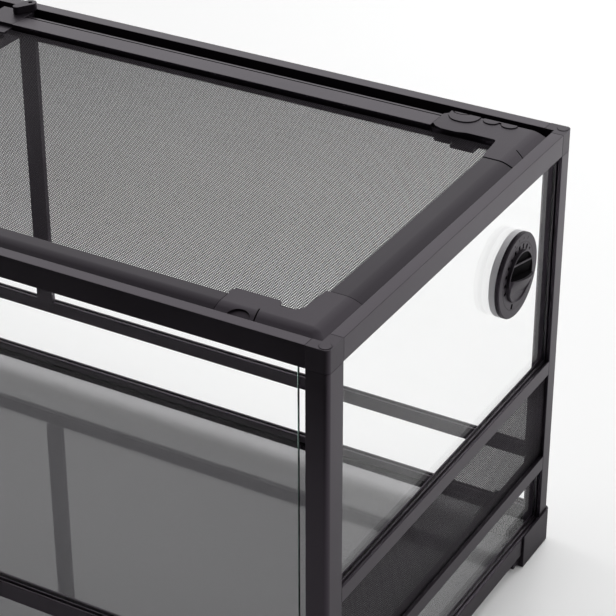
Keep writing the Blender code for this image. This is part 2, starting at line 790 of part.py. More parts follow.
def back_section():
    ridge = LID_BACK_OUTER + LID_RIDGE_WIDTH
    top = ridge + LID_RIDGE_GROOVE
    step = top + LID_BACK_TOP_WIDTH
    bead = step + LID_BEAD_OFFSET
    points = [(LID_BACK_OUTER, 0.0), (LID_BACK_OUTER, LID_RIDGE_HEIGHT), (ridge, LID_RIDGE_HEIGHT)]
    points += [(ridge, LID_RIDGE_GROOVE_HEIGHT), (top, LID_RIDGE_GROOVE_HEIGHT), (top, LID_HEIGHT)]
    points += [(step, LID_HEIGHT), (step, LID_BACK_STEP_HEIGHT), (bead, LID_BACK_STEP_HEIGHT)]
    points += [(bead, LID_BEAD_HEIGHT), (bead + LID_BEAD_WIDTH, LID_BEAD_HEIGHT)]
    points += [(bead + LID_BEAD_WIDTH, LID_BACK_STEP_HEIGHT), (LID_BACK_INNER, LID_BACK_STEP_HEIGHT)]
    return points + net_slot(LID_BACK_INNER)


def front_lid_section():
    return sloped_section(FRONT_BAND + LID_PLAY, LID_FRONT_BREAK, LID_FRONT_INNER)


def build_lid_rails():
    front_end = HALF_WIDTH - FRONT_LIMB - CLEAR
    back_end = HALF_WIDTH - BACK_LIMB - CLEAR
    start = COUPLER_HALF_WIDTH + CLEAR
    for name, wall, section, low, high in (
        ("lid_front_rail", "front", front_lid_section(), -front_end, front_end),
        ("lid_back_rail_left", "back", back_section(), start, back_end),
        ("lid_back_rail_right", "back", back_section(), -back_end, -start),
    ):
        wall_rail(name, wall, section, low, high, LID_LEVEL)
    side = sloped_section(SIDE_BAND + LID_PLAY, LID_SIDE_BREAK, LID_SIDE_INNER)
    front = -HALF_DEPTH + FRONT_SIDE_LIMB + CLEAR
    back = HALF_DEPTH - BACK_SIDE_LIMB - CLEAR
    wall_rail("lid_side_rail_right", "right", side, front, back, LID_LEVEL)
    wall_rail("lid_side_rail_left", "left", side, -back, -front, LID_LEVEL)


def slope_cutter(edge, ridge, along_x, side, end):
    """Wedge that takes the outer slope off a connector, along its front or its side edge."""
    over = LID_HEIGHT
    rise = (LID_HEIGHT - LID_SLOPE_EDGE) / (ridge - edge)
    before = edge - LID_PLAY
    low = LID_SLOPE_EDGE - rise * LID_PLAY
    far = ridge + over / rise
    section = [(before, low), (far, LID_HEIGHT + over), (before, LID_HEIGHT + over)]
    reach = HALF_DEPTH
    if along_x:
        outline = [(-end * inwards, up) for inwards, up in section]
        return prism_mesh(outline, "X", -reach, reach)
    outline = [(-side * inwards, up) for inwards, up in section]
    return prism_mesh(outline, "Y", -reach, reach)


def front_connector_outline():
    """Plan of a front connector: two limbs, a bulge by the front limb and a round inner corner."""
    edge = SIDE_BAND + LID_PLAY
    front = FRONT_BAND + LID_PLAY
    top = LID_FRONT_INNER + FRONT_BULGE
    step = LID_FRONT_INNER + FRONT_BULGE_STEP
    radius = top - step
    start = FRONT_LIMB + FRONT_BULGE_FLARE
    end = FRONT_LIMB - FRONT_BULGE_LENGTH
    points = [(edge, front), (FRONT_LIMB, front), (FRONT_LIMB, LID_FRONT_INNER)]
    points += arc((start - radius, step), radius, 0.0, 90.0, ARC_STEPS)
    points += arc((end + radius, step), radius, 90.0, 180.0, ARC_STEPS)
    inner = LID_SIDE_INNER + FRONT_INNER_WIDER + FRONT_INNER_RADIUS
    points += arc((inner, step + FRONT_INNER_RADIUS), FRONT_INNER_RADIUS, 270.0, 180.0, ARC_STEPS)
    points += [(LID_SIDE_INNER + FRONT_SIDE_WIDER, FRONT_SIDE_LIMB), (edge, FRONT_SIDE_LIMB)]
    return points


def build_front_connectors():
    for side in (-1, 1):
        outline = to_corner(front_connector_outline(), side, -1)
        mesh = prism_mesh(outline, "Z", 0.0, LID_HEIGHT)
        mesh = cut(
            mesh,
            slope_cutter(FRONT_BAND + LID_PLAY, LID_FRONT_BREAK, True, side, -1),
            slope_cutter(SIDE_BAND + LID_PLAY, LID_SIDE_BREAK, False, side, -1),
        )
        mesh.transform(shift(corner_location(side, -1, LID_LEVEL)))
        name = f"lid_front_corner_{SIDE_NAMES[side]}"
        add_object(name, cut(mesh, net_cutter()), moulded_material)


def inlets(side):
    """Cable inlets of one back corner: cover's name to lobes of (middle X, width, depth, radius)."""
    def lobe(place, *sizes):
        return (side * (HALF_WIDTH - place), *sizes)

    label = SIDE_NAMES[side]
    large = (INLET_LARGE_WIDTH, INLET_LARGE_DEPTH, INLET_LARGE_RADIUS)
    small = (INLET_SMALL_WIDTH, INLET_SMALL_DEPTH, INLET_SMALL_RADIUS)
    return {
        f"inlet_cover_large_{label}": [lobe(INLET_LARGE_PLACE, *large)],
        f"inlet_cover_pair_{label}": [lobe(INLET_MIDDLE_PLACE, *small), lobe(INLET_OUTER_PLACE, *small)],
    }


def all_lobes(side):
    return [lobe for lobes in inlets(side).values() for lobe in lobes]


def lobe_outline(middle, width, depth, radius, grow, back):
    """D-shaped plan in the frame's X and distance from the hinge line, round at the front."""
    half = width / 2 + grow
    front = -(depth + grow)
    radius += grow
    points = [(middle + half, back), (middle - half, back)]
    points += arc((middle - half + radius, front + radius), radius, 180.0, 270.0, ARC_STEPS)
    points += arc((middle + half - radius, front + radius), radius, 270.0, 360.0, ARC_STEPS)
    return points


def hinge_line():
    return HALF_DEPTH - BACK_CONNECTOR_OUTER


def cover_mesh(lobes, grow, low, strip_low, high):
    """Lobes joined by a strip along the hinge line, grown all round by a gap."""
    shapes = [
        prism_mesh(lobe_outline(*lobe, grow, grow), "Z", low, high) for lobe in lobes
    ]
    if len(lobes) > 1:
        ends = [lobe[0] for lobe in lobes]
        corner = (min(ends), -INLET_STRIP_WIDTH - grow, strip_low)
        shapes.append(box_mesh(corner, (max(ends), grow, high)))
    return fuse(*shapes)


def hole_outline(lobe):
    """Plan of the cables' way down under a lobe, inside the shelf that carries its cover."""
    middle, _, depth, _ = lobe
    if depth - COVER_SHELF <= INLET_HOLE_DEPTH:
        return lobe_outline(*lobe, -COVER_SHELF, -COVER_SHELF)
    hole = (middle, INLET_HOLE_WIDTH, INLET_HOLE_DEPTH, INLET_HOLE_RADIUS)
    return lobe_outline(*hole, 0.0, -COVER_SHELF)


def inlet_cutters(lobes):
    """Seat of a cover in the connector's top, and the cables' ways down under it."""
    seat = LID_LEVEL + LID_HEIGHT - COVER_THICKNESS - CLEAR
    above = seat + 2 * COVER_THICKNESS
    tools = [cover_mesh(lobes, COVER_GAP, seat, seat, above)]
    for lobe in lobes:
        tools.append(prism_mesh(hole_outline(lobe), "Z", LID_LEVEL - COVER_THICKNESS, above))
    for tool in tools:
        tool.transform(shift((0.0, hinge_line(), 0.0)))
    return tools


def ledge_notch(lobe):
    """Cut in the back rail's ledge under an inlet, in the back wall's own axes."""
    middle, width, depth, _ = lobe
    half = width / 2 - COVER_SHELF
    near = BACK_CONNECTOR_OUTER + COVER_SHELF
    low = (-middle - half, near, 0.0)
    return box_mesh(low, (-middle + half, BACK_LID_LEDGE + depth, LEDGE_TOP + LID_DEPTH))


def back_connector_outline():
    """Plan of a back connector: chamfered end, a bulge by the large inlet, round inner corner."""
    edge = SIDE_BAND + LID_PLAY
    outer = BACK_CONNECTOR_OUTER
    inner = BACK_CONNECTOR_INNER
    bulge = inner + BACK_BULGE
    large = INLET_LARGE_PLACE
    points = [(edge, outer), (BACK_LIMB - BACK_OUTER_CHAMFER, outer)]
    points += [(BACK_LIMB, outer + BACK_OUTER_CHAMFER), (BACK_LIMB, inner - BACK_INNER_CHAMFER)]
    points += [(BACK_LIMB - BACK_INNER_CHAMFER, inner), (large + BACK_BULGE_HALF, bulge)]
    points += [(large - BACK_BULGE_HALF, bulge), (large - BACK_BULGE_END, inner)]
    corner = LID_SIDE_INNER + BACK_INNER_WIDER + BACK_INNER_RADIUS
    points += arc((corner, inner + BACK_INNER_RADIUS), BACK_INNER_RADIUS, 270.0, 180.0, ARC_STEPS)
    points += [(LID_SIDE_INNER + BACK_SIDE_WIDER, BACK_SIDE_LIMB), (edge, BACK_SIDE_LIMB)]
    return points


def back_flange_outline(start, end):
    """Low flange that carries on the rail's step between start and end from the side plane."""
    inner = BACK_CONNECTOR_INNER - LID_RIDGE_WIDTH
    return [(start, inner), (end, inner), (end, LID_BACK_INNER), (start, LID_BACK_INNER)]


def build_back_connectors():
    for side in (-1, 1):
        plan = to_corner(back_connector_outline(), side, 1)
        low_plan = to_corner(back_flange_outline(LID_SIDE_INNER - LID_PLAY, BACK_LIMB), side, 1)
        mesh = fuse(
            prism_mesh(plan, "Z", 0.0, LID_HEIGHT),
            prism_mesh(low_plan, "Z", 0.0, LID_BACK_STEP_HEIGHT),
        )
        mesh = cut(mesh, slope_cutter(SIDE_BAND + LID_PLAY, LID_SIDE_BREAK, False, side, 1))
        mesh.transform(shift(corner_location(side, 1, LID_LEVEL)))
        mesh = cut(mesh, net_cutter())
        for lobes in inlets(side).values():
            mesh = cut(mesh, *inlet_cutters(lobes))
        add_object(f"lid_back_corner_{SIDE_NAMES[side]}", mesh, moulded_material)


def build_coupler():
    """Piece that joins the two back lid rails in the middle and carries the latch on a boss."""
    half = COUPLER_HALF_WIDTH
    top = HALF_DEPTH - BACK_CONNECTOR_OUTER
    step = HALF_DEPTH - BACK_CONNECTOR_INNER
    inner = HALF_DEPTH - LID_BACK_INNER
    mesh = box_mesh((-half, step, LID_LEVEL), (half, top, LID_LEVEL + LID_HEIGHT))
    flange_top = LID_LEVEL + LID_BACK_STEP_HEIGHT
    boss_y = HALF_DEPTH - LATCH_INSET
    boss = circle((LATCH_X, boss_y), LATCH_BOSS_RADIUS)
    web = (LATCH_X - LATCH_BOSS_RADIUS / 2, top - LATCH_BOSS_RADIUS, LID_LEVEL)
    mesh = fuse(
        mesh,
        box_mesh((-half, inner, LID_LEVEL), (half, step + LID_RIDGE_WIDTH, flange_top)),
        box_mesh(web, (LATCH_X + LATCH_BOSS_RADIUS / 2, boss_y, flange_top)),
        prism_mesh(boss, "Z", LID_LEVEL, LID_LEVEL + LID_HEIGHT),
    )
    add_object("lid_back_coupler", smooth_round(cut(mesh, net_cutter())), moulded_material)


def build_inlet_covers():
    """Flaps that close the inlets; each turns up about its straight back edge."""
    top = LID_LEVEL + LID_HEIGHT
    for side in (-1, 1):
        for name, lobes in inlets(side).items():
            middle = sum(lobe[0] for lobe in lobes) / len(lobes)
            own = [(place - middle, *sizes) for place, *sizes in lobes]
            mesh = cover_mesh(own, 0.0, -COVER_THICKNESS, -INLET_STRIP_THICKNESS, 0.0)
            add_object(name, smooth_round(mesh), moulded_material, (middle, hinge_line(), top))


def build_latch():
    """Turning latch: a hub with a narrower tip that lies over the back coupler."""
    slim = math.degrees(math.acos((LATCH_HUB_RADIUS - LATCH_TIP_RADIUS) / LATCH_REACH))
    outline = arc((0.0, 0.0), LATCH_HUB_RADIUS, slim, 360.0 - slim, 3 * ARC_STEPS)
    outline += arc((LATCH_REACH, 0.0), LATCH_TIP_RADIUS, -slim, slim, 2 * ARC_STEPS)
    mesh = prism_mesh(outline, "Z", 0.0, LATCH_HEIGHT)
    dimple = circle((0.0, 0.0), LATCH_DIMPLE_RADIUS)
    low = LATCH_HEIGHT - LATCH_DIMPLE_DEPTH
    mesh = cut(mesh, prism_mesh(dimple, "Z", low, 2 * LATCH_HEIGHT))
    location = (LATCH_X, HALF_DEPTH - LATCH_INSET, HEIGHT + CLEAR)
    add_object("lid_latch", smooth_round(mesh), moulded_material, location, LATCH_TURN)


# Ventilation port, turned round an axis along X through the right wall

def port_centre(x):
    return (x, HALF_DEPTH - PORT_INSET, PORT_LEVEL)


def vent_slots(low, high):
    """Radial slots over part of the dial's edge, for cutting, between two heights along X."""
    tools = []
    for index in range(VENT_SLOT_COUNT):
        angle = VENT_SLOT_FIRST + index * VENT_SLOT_STEP
        outward = (math.cos(angle), math.sin(angle))
        aside = (-outward[1] * VENT_SLOT_WIDTH / 2, outward[0] * VENT_SLOT_WIDTH / 2)
        corners = []
        for reach, sign in ((0.0, -1), (1.0, -1), (1.0, 1), (0.0, 1)):
            radius = VENT_SLOT_INNER + reach * VENT_SLOT_LENGTH
            corners.append((
                outward[0] * radius + sign * aside[0],
                outward[1] * radius + sign * aside[1],
            ))
        tools.append(prism_mesh(corners, "X", low, high))
    return tools


def build_port_rim():
    """Pale rim outside the glass, with a sleeve through it that snaps behind the pane."""
    flange = -GLASS_INSET + CLEAR
    inner = -PORT_SLEEVE_INSIDE
    catch = -GLASS_INSET - GLASS - CLEAR
    bore = PORT_SLEEVE_RADIUS - PORT_SLEEVE_WALL
    lip = PORT_SLEEVE_RADIUS + PORT_SLEEVE_LIP
    profile = [(flange, PORT_SLEEVE_RADIUS), (flange, PORT_RADIUS), (-CLEAR, PORT_RADIUS)]
    profile += [(-CLEAR, bore), (inner, bore), (inner, lip), (catch, lip)]
    profile += [(catch, PORT_SLEEVE_RADIUS)]
    rim = smooth_round(ring_mesh(profile, ROUND_STEPS))
    add_object("port_rim", rim, rim_material, port_centre(HALF_WIDTH))


def build_port_bezel():
    hole = DIAL_SPINDLE_RADIUS + CLEAR
    well = DIAL_RADIUS + CLEAR
    profile = [(0.0, hole), (0.0, PORT_RADIUS)]
    profile += [(PORT_FACE_THICKNESS - PORT_CHAMFER, PORT_RADIUS)]
    profile += [(PORT_FACE_THICKNESS, PORT_RADIUS - PORT_CHAMFER), (PORT_FACE_THICKNESS, well)]
    profile += [(PORT_PLATE, well), (PORT_PLATE, hole)]
    mesh = ring_mesh(profile, ROUND_STEPS)
    mesh = cut(mesh, *vent_slots(-PORT_PLATE, PORT_PLATE + CLEAR / 2))
    add_object("port_bezel", smooth_round(mesh), moulded_material, port_centre(HALF_WIDTH))


def grip_mesh(low, high):
    """Twist grip: an arched bar with a steep upper side and a long slope below its crest."""
    shape = bmesh.new()
    rings = []
    for index in range(GRIP_STATIONS + 1):
        along = GRIP_LENGTH * (index / GRIP_STATIONS - 0.5)
        swell = 1.0 - (1.0 - GRIP_TIP) * (2 * along / GRIP_LENGTH) ** 2
        top = low + (high - low) * swell
        section = (
            (low, -GRIP_BELOW * swell),
            (low, GRIP_ABOVE * swell),
            (top, GRIP_CREST),
            (top, 0.0),
        )
        rings.append([shape.verts.new((x, along, across)) for x, across in section])
    shape.faces.new(rings[0])
    shape.faces.new(rings[-1])
    for ring, following in zip(rings, rings[1:]):
        for corner in range(4):
            after = (corner + 1) % 4
            shape.faces.new((ring[corner], ring[after], following[after], following[corner]))
    bmesh.ops.triangulate(shape, faces=shape.faces)
    bmesh.ops.recalc_face_normals(shape, faces=shape.faces)
    bmesh.ops.rotate(shape, verts=shape.verts, matrix=Matrix.Rotation(GRIP_TILT, 3, "X"))
    mesh = bpy.data.meshes.new("grip")
    shape.to_mesh(mesh)
    shape.free()
    return mesh


def build_port_dial():
    """Slotted dial with a raised knob, the grip across it and the spindle through the bezel."""
    back = PORT_PLATE + CLEAR
    face = back + DIAL_THICKNESS
    mesh = prism_mesh(circle((0.0, 0.0), DIAL_RADIUS, ROUND_STEPS), "X", back, face)
    head = -CLEAR - DIAL_HEAD_THICKNESS
    mesh = fuse(
        mesh,
        prism_mesh(
            circle((0.0, 0.0), KNOB_RADIUS, ROUND_STEPS),
            "X",
            face - DIAL_THICKNESS / 2,
            face + KNOB_HEIGHT,
        ),
        grip_mesh(face, face + GRIP_HEIGHT),
        prism_mesh(circle((0.0, 0.0), DIAL_SPINDLE_RADIUS), "X", head, face - DIAL_THICKNESS / 2),
        prism_mesh(circle((0.0, 0.0), DIAL_HEAD_RADIUS), "X", head, -CLEAR),
    )
    mesh = cut(mesh, *vent_slots(back - CLEAR / 2, face + CLEAR))
    add_object("port_dial", smooth_round(mesh), moulded_material, port_centre(HALF_WIDTH))


def build_all():
    for item in list(bpy.data.objects):
        bpy.data.objects.remove(item)
    build_bottom_rails()
    build_belts()
    build_vent_rails()
    build_top_rails()
    build_brace()
    build_posts()
    build_top_corners()
    build_feet()
    build_mullion()
    build_side_panes()
    build_end_panes()
    build_floor()
    build_doors()
    build_vent_nets()
    build_port_rim()
    build_port_bezel()
    build_port_dial()
    build_lid_rails()
    build_lid_net()
    build_front_connectors()
    build_back_connectors()
    build_coupler()
    build_inlet_covers()
    build_latch()


build_all()
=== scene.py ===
# %% [markdown]
# # A long glass terrarium
# A flat-packed tank: black plastic rails hold glass panes, two doors slide in front, mesh strips
# and a round port let air in, and a mesh lid lies in the top. The solids come from the CAD model.
# This notebook gives them rounded edges, wire mesh, glass, carved details and a small studio.

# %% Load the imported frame
import json
import math

import bmesh
import bpy
from mathutils import Matrix, Vector


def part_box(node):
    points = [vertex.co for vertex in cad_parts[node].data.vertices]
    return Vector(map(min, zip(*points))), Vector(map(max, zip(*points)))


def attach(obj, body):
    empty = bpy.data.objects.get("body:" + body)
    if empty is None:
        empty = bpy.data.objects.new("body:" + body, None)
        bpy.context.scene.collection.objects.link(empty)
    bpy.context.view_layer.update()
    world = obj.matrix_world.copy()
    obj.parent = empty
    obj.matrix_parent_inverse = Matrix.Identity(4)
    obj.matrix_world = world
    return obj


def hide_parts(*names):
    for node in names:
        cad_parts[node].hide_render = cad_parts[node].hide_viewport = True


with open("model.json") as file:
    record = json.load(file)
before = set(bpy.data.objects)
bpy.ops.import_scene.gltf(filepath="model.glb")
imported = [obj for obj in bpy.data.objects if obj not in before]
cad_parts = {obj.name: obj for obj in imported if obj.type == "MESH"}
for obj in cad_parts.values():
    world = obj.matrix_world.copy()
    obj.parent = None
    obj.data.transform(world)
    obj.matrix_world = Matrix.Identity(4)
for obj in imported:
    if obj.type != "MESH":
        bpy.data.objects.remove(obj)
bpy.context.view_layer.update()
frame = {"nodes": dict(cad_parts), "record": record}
NODES = frame["nodes"]
BODIES = frame["record"]["behaviour"]["bodies"]
BODY_OF = {node: body for body, members in BODIES.items() for node in members}
print(f"{len(NODES)} CAD nodes on {len(BODIES)} bodies")

# %% [markdown]
# The photographer stood at the front right and looked down at 30 degrees with a long lens.
# Such a camera could be placed by eye. Here its place and lens were found by fitting the
# straight edges of the frame, which brings the marked corners to within about a pixel.

# %% Camera
CAMERA_PLACE = (1.29651, -1.47219, 1.32350)
CAMERA_TURN = (59.84, 0.05, 29.77)
LENS = 129.79

camera_data = bpy.data.cameras.new("studio_camera")
camera_data.lens = LENS
camera_data.sensor_width = 36.0
camera_data.clip_start = 0.05
camera_data.clip_end = 60.0
camera = bpy.data.objects.new("studio_camera", camera_data)
camera.location = CAMERA_PLACE
camera.rotation_euler = [math.radians(angle) for angle in CAMERA_TURN]
bpy.context.scene.collection.objects.link(camera)
bpy.context.scene.camera = camera
bpy.context.scene.view_settings.view_transform = "Standard"
print("camera at", [round(value, 3) for value in camera.location])

# %% [markdown]
# Node trees are easier to read when a helper adds a node, fills its plain values and links the
# rest. A value that is a socket is linked, and any other value is written on the socket. Three
# more helpers make what comes back often: a smooth change, a sum of two, and a mask of what the
# camera sees.

# %% Node helpers
def add_node(tree, kind, inputs=None, **settings):
    node = tree.nodes.new(kind)
    for name, value in settings.items():
        setattr(node, name, value)
    for key, value in (inputs or {}).items():
        if isinstance(value, bpy.types.NodeSocket):
            tree.links.new(value, node.inputs[key])
        else:
            node.inputs[key].default_value = value
    return node


def fade(tree, value, reach, levels):
    """Smooth change from one level to the other, while a value crosses its reach."""
    node = add_node(
        tree, "ShaderNodeMapRange",
        {"Value": value, "From Min": reach[0], "From Max": reach[1],
         "To Min": levels[0], "To Max": levels[1]},
        interpolation_type="SMOOTHSTEP",
    )
    return node.outputs[0]


def calculate(tree, operation, first, second):
    """Result of a math node with two inputs, each a number or a socket."""
    return add_node(tree, "ShaderNodeMath", {0: first, 1: second}, operation=operation).outputs[0]


def seen_directly(tree):
    """1 for what the camera sees, also through glass, and 0 for all other light."""
    rays = add_node(tree, "ShaderNodeLightPath").outputs
    either = add_node(
        tree, "ShaderNodeMath", {0: rays["Is Camera Ray"], 1: rays["Is Transmission Ray"]},
        operation="ADD", use_clamp=True,
    )
    return either.outputs[0]


print("node helpers ready")

# %% [markdown]
# Black plastic shows mostly what it mirrors. The tops mirror a pale wall behind the tank, and
# the fronts mirror a dark room, so the studio is pale behind, darker overhead and at the right,
# and darkest in front. Walls could be built for that. The world does it with three fades for
# light rays, while the camera and the glass see plain white.

# %% World
world = bpy.data.worlds.new("studio_world")
bpy.context.scene.world = world
world.use_nodes = True
tree = world.node_tree
tree.nodes.clear()
direction = add_node(tree, "ShaderNodeTexCoord")
split = add_node(tree, "ShaderNodeSeparateXYZ", {0: direction.outputs["Generated"]}).outputs
behind = fade(tree, split["Y"], (-0.25, 0.30), (0.10, 1.20))
overhead = fade(tree, split["Z"], (0.50, 0.78), (1.0, 0.42))
right_side = fade(tree, split["X"], (0.0, 0.45), (1.0, 0.30))
wall = calculate(tree, "MULTIPLY", behind, overhead)
room = calculate(tree, "MULTIPLY", wall, right_side)
strength = add_node(tree, "ShaderNodeMix", {"Factor": seen_directly(tree), "A": room, "B": 1.0})
background = add_node(
    tree, "ShaderNodeBackground", {"Color": (1.0, 1.0, 1.0, 1.0), "Strength": strength.outputs[0]}
)
add_node(tree, "ShaderNodeOutputWorld", {"Surface": background.outputs[0]})
print("world ready")

# %% [markdown]
# A pale floor throws light back at the tank, from below and onto its dark fronts. It could be
# painted grey, but then the camera would see the grey. So its material has two answers: one
# even tone for the camera, and for the light that bounces off it a tone that is darker under
# the tank and just before it than behind and at the right.

# %% Surface of the floor
BEHIND_TANK = (0.1, 0.9)
BEFORE_TANK = (-0.45, -0.15)
BESIDE_TANK = (0.62, 0.80)


def plain_surface(name, colour, near, far):
    """Matt sheet of one colour to the camera, which bounces less light near the tank."""
    material = bpy.data.materials.new(name)
    material.use_nodes = True
    tree = material.node_tree
    tree.nodes.clear()
    place = add_node(tree, "ShaderNodeTexCoord")
    split = add_node(tree, "ShaderNodeSeparateXYZ", {0: place.outputs["Object"]}).outputs
    behind = fade(tree, split["Y"], BEHIND_TANK, (near, far))
    before = fade(tree, split["Y"], BEFORE_TANK, ((far - near) / 2, 0.0))
    beside = fade(tree, split["X"], BESIDE_TANK, (near, (near + 2 * far) / 3))
    bounce = calculate(tree, "MAXIMUM", calculate(tree, "ADD", behind, before), beside)
    mix = add_node(
        tree, "ShaderNodeMix",
        {"Factor": seen_directly(tree), "A": bounce, "B": (colour, colour, colour, 1.0)},
        data_type="RGBA",
    )
    diffuse = add_node(tree, "ShaderNodeBsdfDiffuse", {"Color": mix.outputs["Result"]})
    add_node(tree, "ShaderNodeOutputMaterial", {"Surface": diffuse.outputs[0]})
    return material


print("surface of the floor ready")

# %% [markdown]
# The floor is one flat sheet that keeps the tank's shadow. A backdrop that curves up could
# stand behind it, but a camera that looks down sees only the floor. A black flag lies further
# in front, unseen by the camera, as photographers use to keep the front of a dark object dark.

# %% Floor and flag
FLOOR_REACH = 9.0
FLOOR_LEVEL = -0.0003
FLAG_LOW, FLAG_HIGH = (-4.0, -6.0), (2.5, -0.70)
FLAG_LEVEL = 0.001


def flat_sheet(name, low, high, level):
    corners = ((low[0], low[1]), (high[0], low[1]), (high[0], high[1]), (low[0], high[1]))
    mesh = bpy.data.meshes.new(name)
    mesh.from_pydata([(x, y, level) for x, y in corners], [], [(0, 1, 2, 3)])
    sheet = bpy.data.objects.new(name, mesh)
    bpy.context.scene.collection.objects.link(sheet)
    return sheet


floor = flat_sheet(
    "studio_floor", (-FLOOR_REACH, -FLOOR_REACH), (FLOOR_REACH, FLOOR_REACH), FLOOR_LEVEL
)
floor.data.materials.append(plain_surface("floor_paper", 1.0, 0.47, 0.96))
flag = flat_sheet("studio_flag", FLAG_LOW, FLAG_HIGH, FLAG_LEVEL)
flag.data.materials.append(plain_surface("flag_cloth", 0.01, 0.01, 0.01))
for name in ("visible_camera", "visible_transmission", "visible_shadow", "visible_diffuse"):
    setattr(flag, name, False)
print("floor and flag ready")

# %% [markdown]
# Three large round lamps give soft light from behind and from both sides. Small lamps would draw
# hard shadows, which the photograph hasn't. The lamps light the tank but aren't mirrored in it
# or seen through its glass, so that they leave no hot spots on the black slopes and on the
# floor pane.

# %% Lamps
LAMPS = (
    ("soft_lamp_back", (0.6, 2.6, 2.6), (0.0, 0.0, 0.2), 2.6, 62.0),
    ("soft_lamp_right", (3.2, 0.8, 2.2), (0.4, 0.0, 0.2), 2.0, 34.0),
    ("soft_lamp_left", (-3.2, 0.4, 2.4), (0.0, 0.0, 0.2), 2.2, 30.0),
)

for name, place, target, size, power in LAMPS:
    lamp_data = bpy.data.lights.new(name, "AREA")
    lamp_data.shape = "DISK"
    lamp_data.size = size
    lamp_data.energy = power
    lamp = bpy.data.objects.new(name, lamp_data)
    lamp.location = place
    aim = Vector(target) - Vector(place)
    lamp.rotation_euler = aim.to_track_quat("-Z", "Y").to_euler()
    lamp.visible_glossy = False
    lamp.visible_transmission = False
    bpy.context.scene.collection.objects.link(lamp)
print(len(LAMPS), "lamps")

# %% [markdown]
# Moulded plastic is never quite even: it has a fine grain, and its gloss changes a little where
# hands have been. Both effects are node groups, so that every plastic can use them at its own
# size. They put out plain values, which each material turns into colour, gloss and bump.

# %% Shared surface effects
def value_group(name, inputs, output):
    """Empty group with numbers and a place as its inputs and one value as its output."""
    group = bpy.data.node_groups.new(name, "ShaderNodeTree")
    for label, default in inputs:
        socket = group.interface.new_socket(label, in_out="INPUT", socket_type="NodeSocketFloat")
        socket.default_value = default
    group.interface.new_socket("Place", in_out="INPUT", socket_type="NodeSocketVector")
    group.interface.new_socket(output, in_out="OUTPUT", socket_type="NodeSocketFloat")
    start = group.nodes.new("NodeGroupInput").outputs
    end = group.nodes.new("NodeGroupOutput").inputs
    return group, start, end


grain_group, start, end = value_group("fine_grain", [("Scale", 1500.0)], "Height")
stretch = add_node(
    grain_group, "ShaderNodeVectorMath", {0: start["Place"], 3: start["Scale"]}, operation="SCALE"
)
pits = add_node(
    grain_group, "ShaderNodeTexNoise",
    {"Vector": stretch.outputs[0], "Scale": 1.0, "Detail": 2.0, "Roughness": 0.6},
)
grain_group.links.new(pits.outputs["Fac"], end["Height"])

handling_group, start, end = value_group("handling", [("Scale", 9.0), ("Contrast", 0.35)], "Mask")
cloud = add_node(
    handling_group, "ShaderNodeTexNoise",
    {"Vector": start["Place"], "Scale": start["Scale"], "Detail": 4.0, "Roughness": 0.55},
)
ramp = add_node(
    handling_group, "ShaderNodeMapRange",
    {"Value": cloud.outputs["Fac"],
     "From Min": calculate(handling_group, "SUBTRACT", 0.5, start["Contrast"]),
     "From Max": calculate(handling_group, "ADD", 0.5, start["Contrast"])},
)
handling_group.links.new(ramp.outputs[0], end["Mask"])
print("node groups:", grain_group.name, handling_group.name)

# %% [markdown]
# The real rails are extruded and a little glossy, while the connectors are moulded and more
# matt. Each material could be built by hand. One recipe makes all of them, so that they stay
# alike: two near-black tones, a gloss that wanders between two values, a shallow bump from the
# grain, and how strongly the surface mirrors. The black has a faint purple sheen.

# %% Recipe for plastic
SHEEN = (1.0, 0.84, 1.03, 1.0)
GRAIN_DEPTH = 0.0002


def use_group(tree, group, **values):
    """Places a shared effect in a material, on the piece's own coordinates."""
    node = add_node(tree, "ShaderNodeGroup", node_tree=group)
    coordinates = add_node(tree, "ShaderNodeTexCoord")
    tree.links.new(coordinates.outputs["Object"], node.inputs["Place"])
    for name, value in values.items():
        node.inputs[name].default_value = value
    return node.outputs[0]


def plastic(name, dark, pale, gloss, grain_scale, bump, ior=1.5):
    material = bpy.data.materials.new(name)
    material.use_nodes = True
    tree = material.node_tree
    shader = tree.nodes["Principled BSDF"]
    marks = use_group(tree, handling_group, Scale=7.0, Contrast=0.22)
    tone = add_node(
        tree, "ShaderNodeMix", {"Factor": marks, "A": (*dark, 1.0), "B": (*pale, 1.0)},
        data_type="RGBA",
    )
    tree.links.new(tone.outputs["Result"], shader.inputs["Base Color"])
    polish = add_node(
        tree, "ShaderNodeMapRange", {"Value": marks, "To Min": gloss[0], "To Max": gloss[1]}
    )
    tree.links.new(polish.outputs[0], shader.inputs["Roughness"])
    height = use_group(tree, grain_group, Scale=grain_scale)
    relief = add_node(
        tree, "ShaderNodeBump", {"Height": height, "Strength": bump, "Distance": GRAIN_DEPTH}
    )
    tree.links.new(relief.outputs[0], shader.inputs["Normal"])
    shader.inputs["Specular Tint"].default_value = SHEEN
    shader.inputs["IOR"].default_value = ior
    return material


print("recipe for plastic ready")
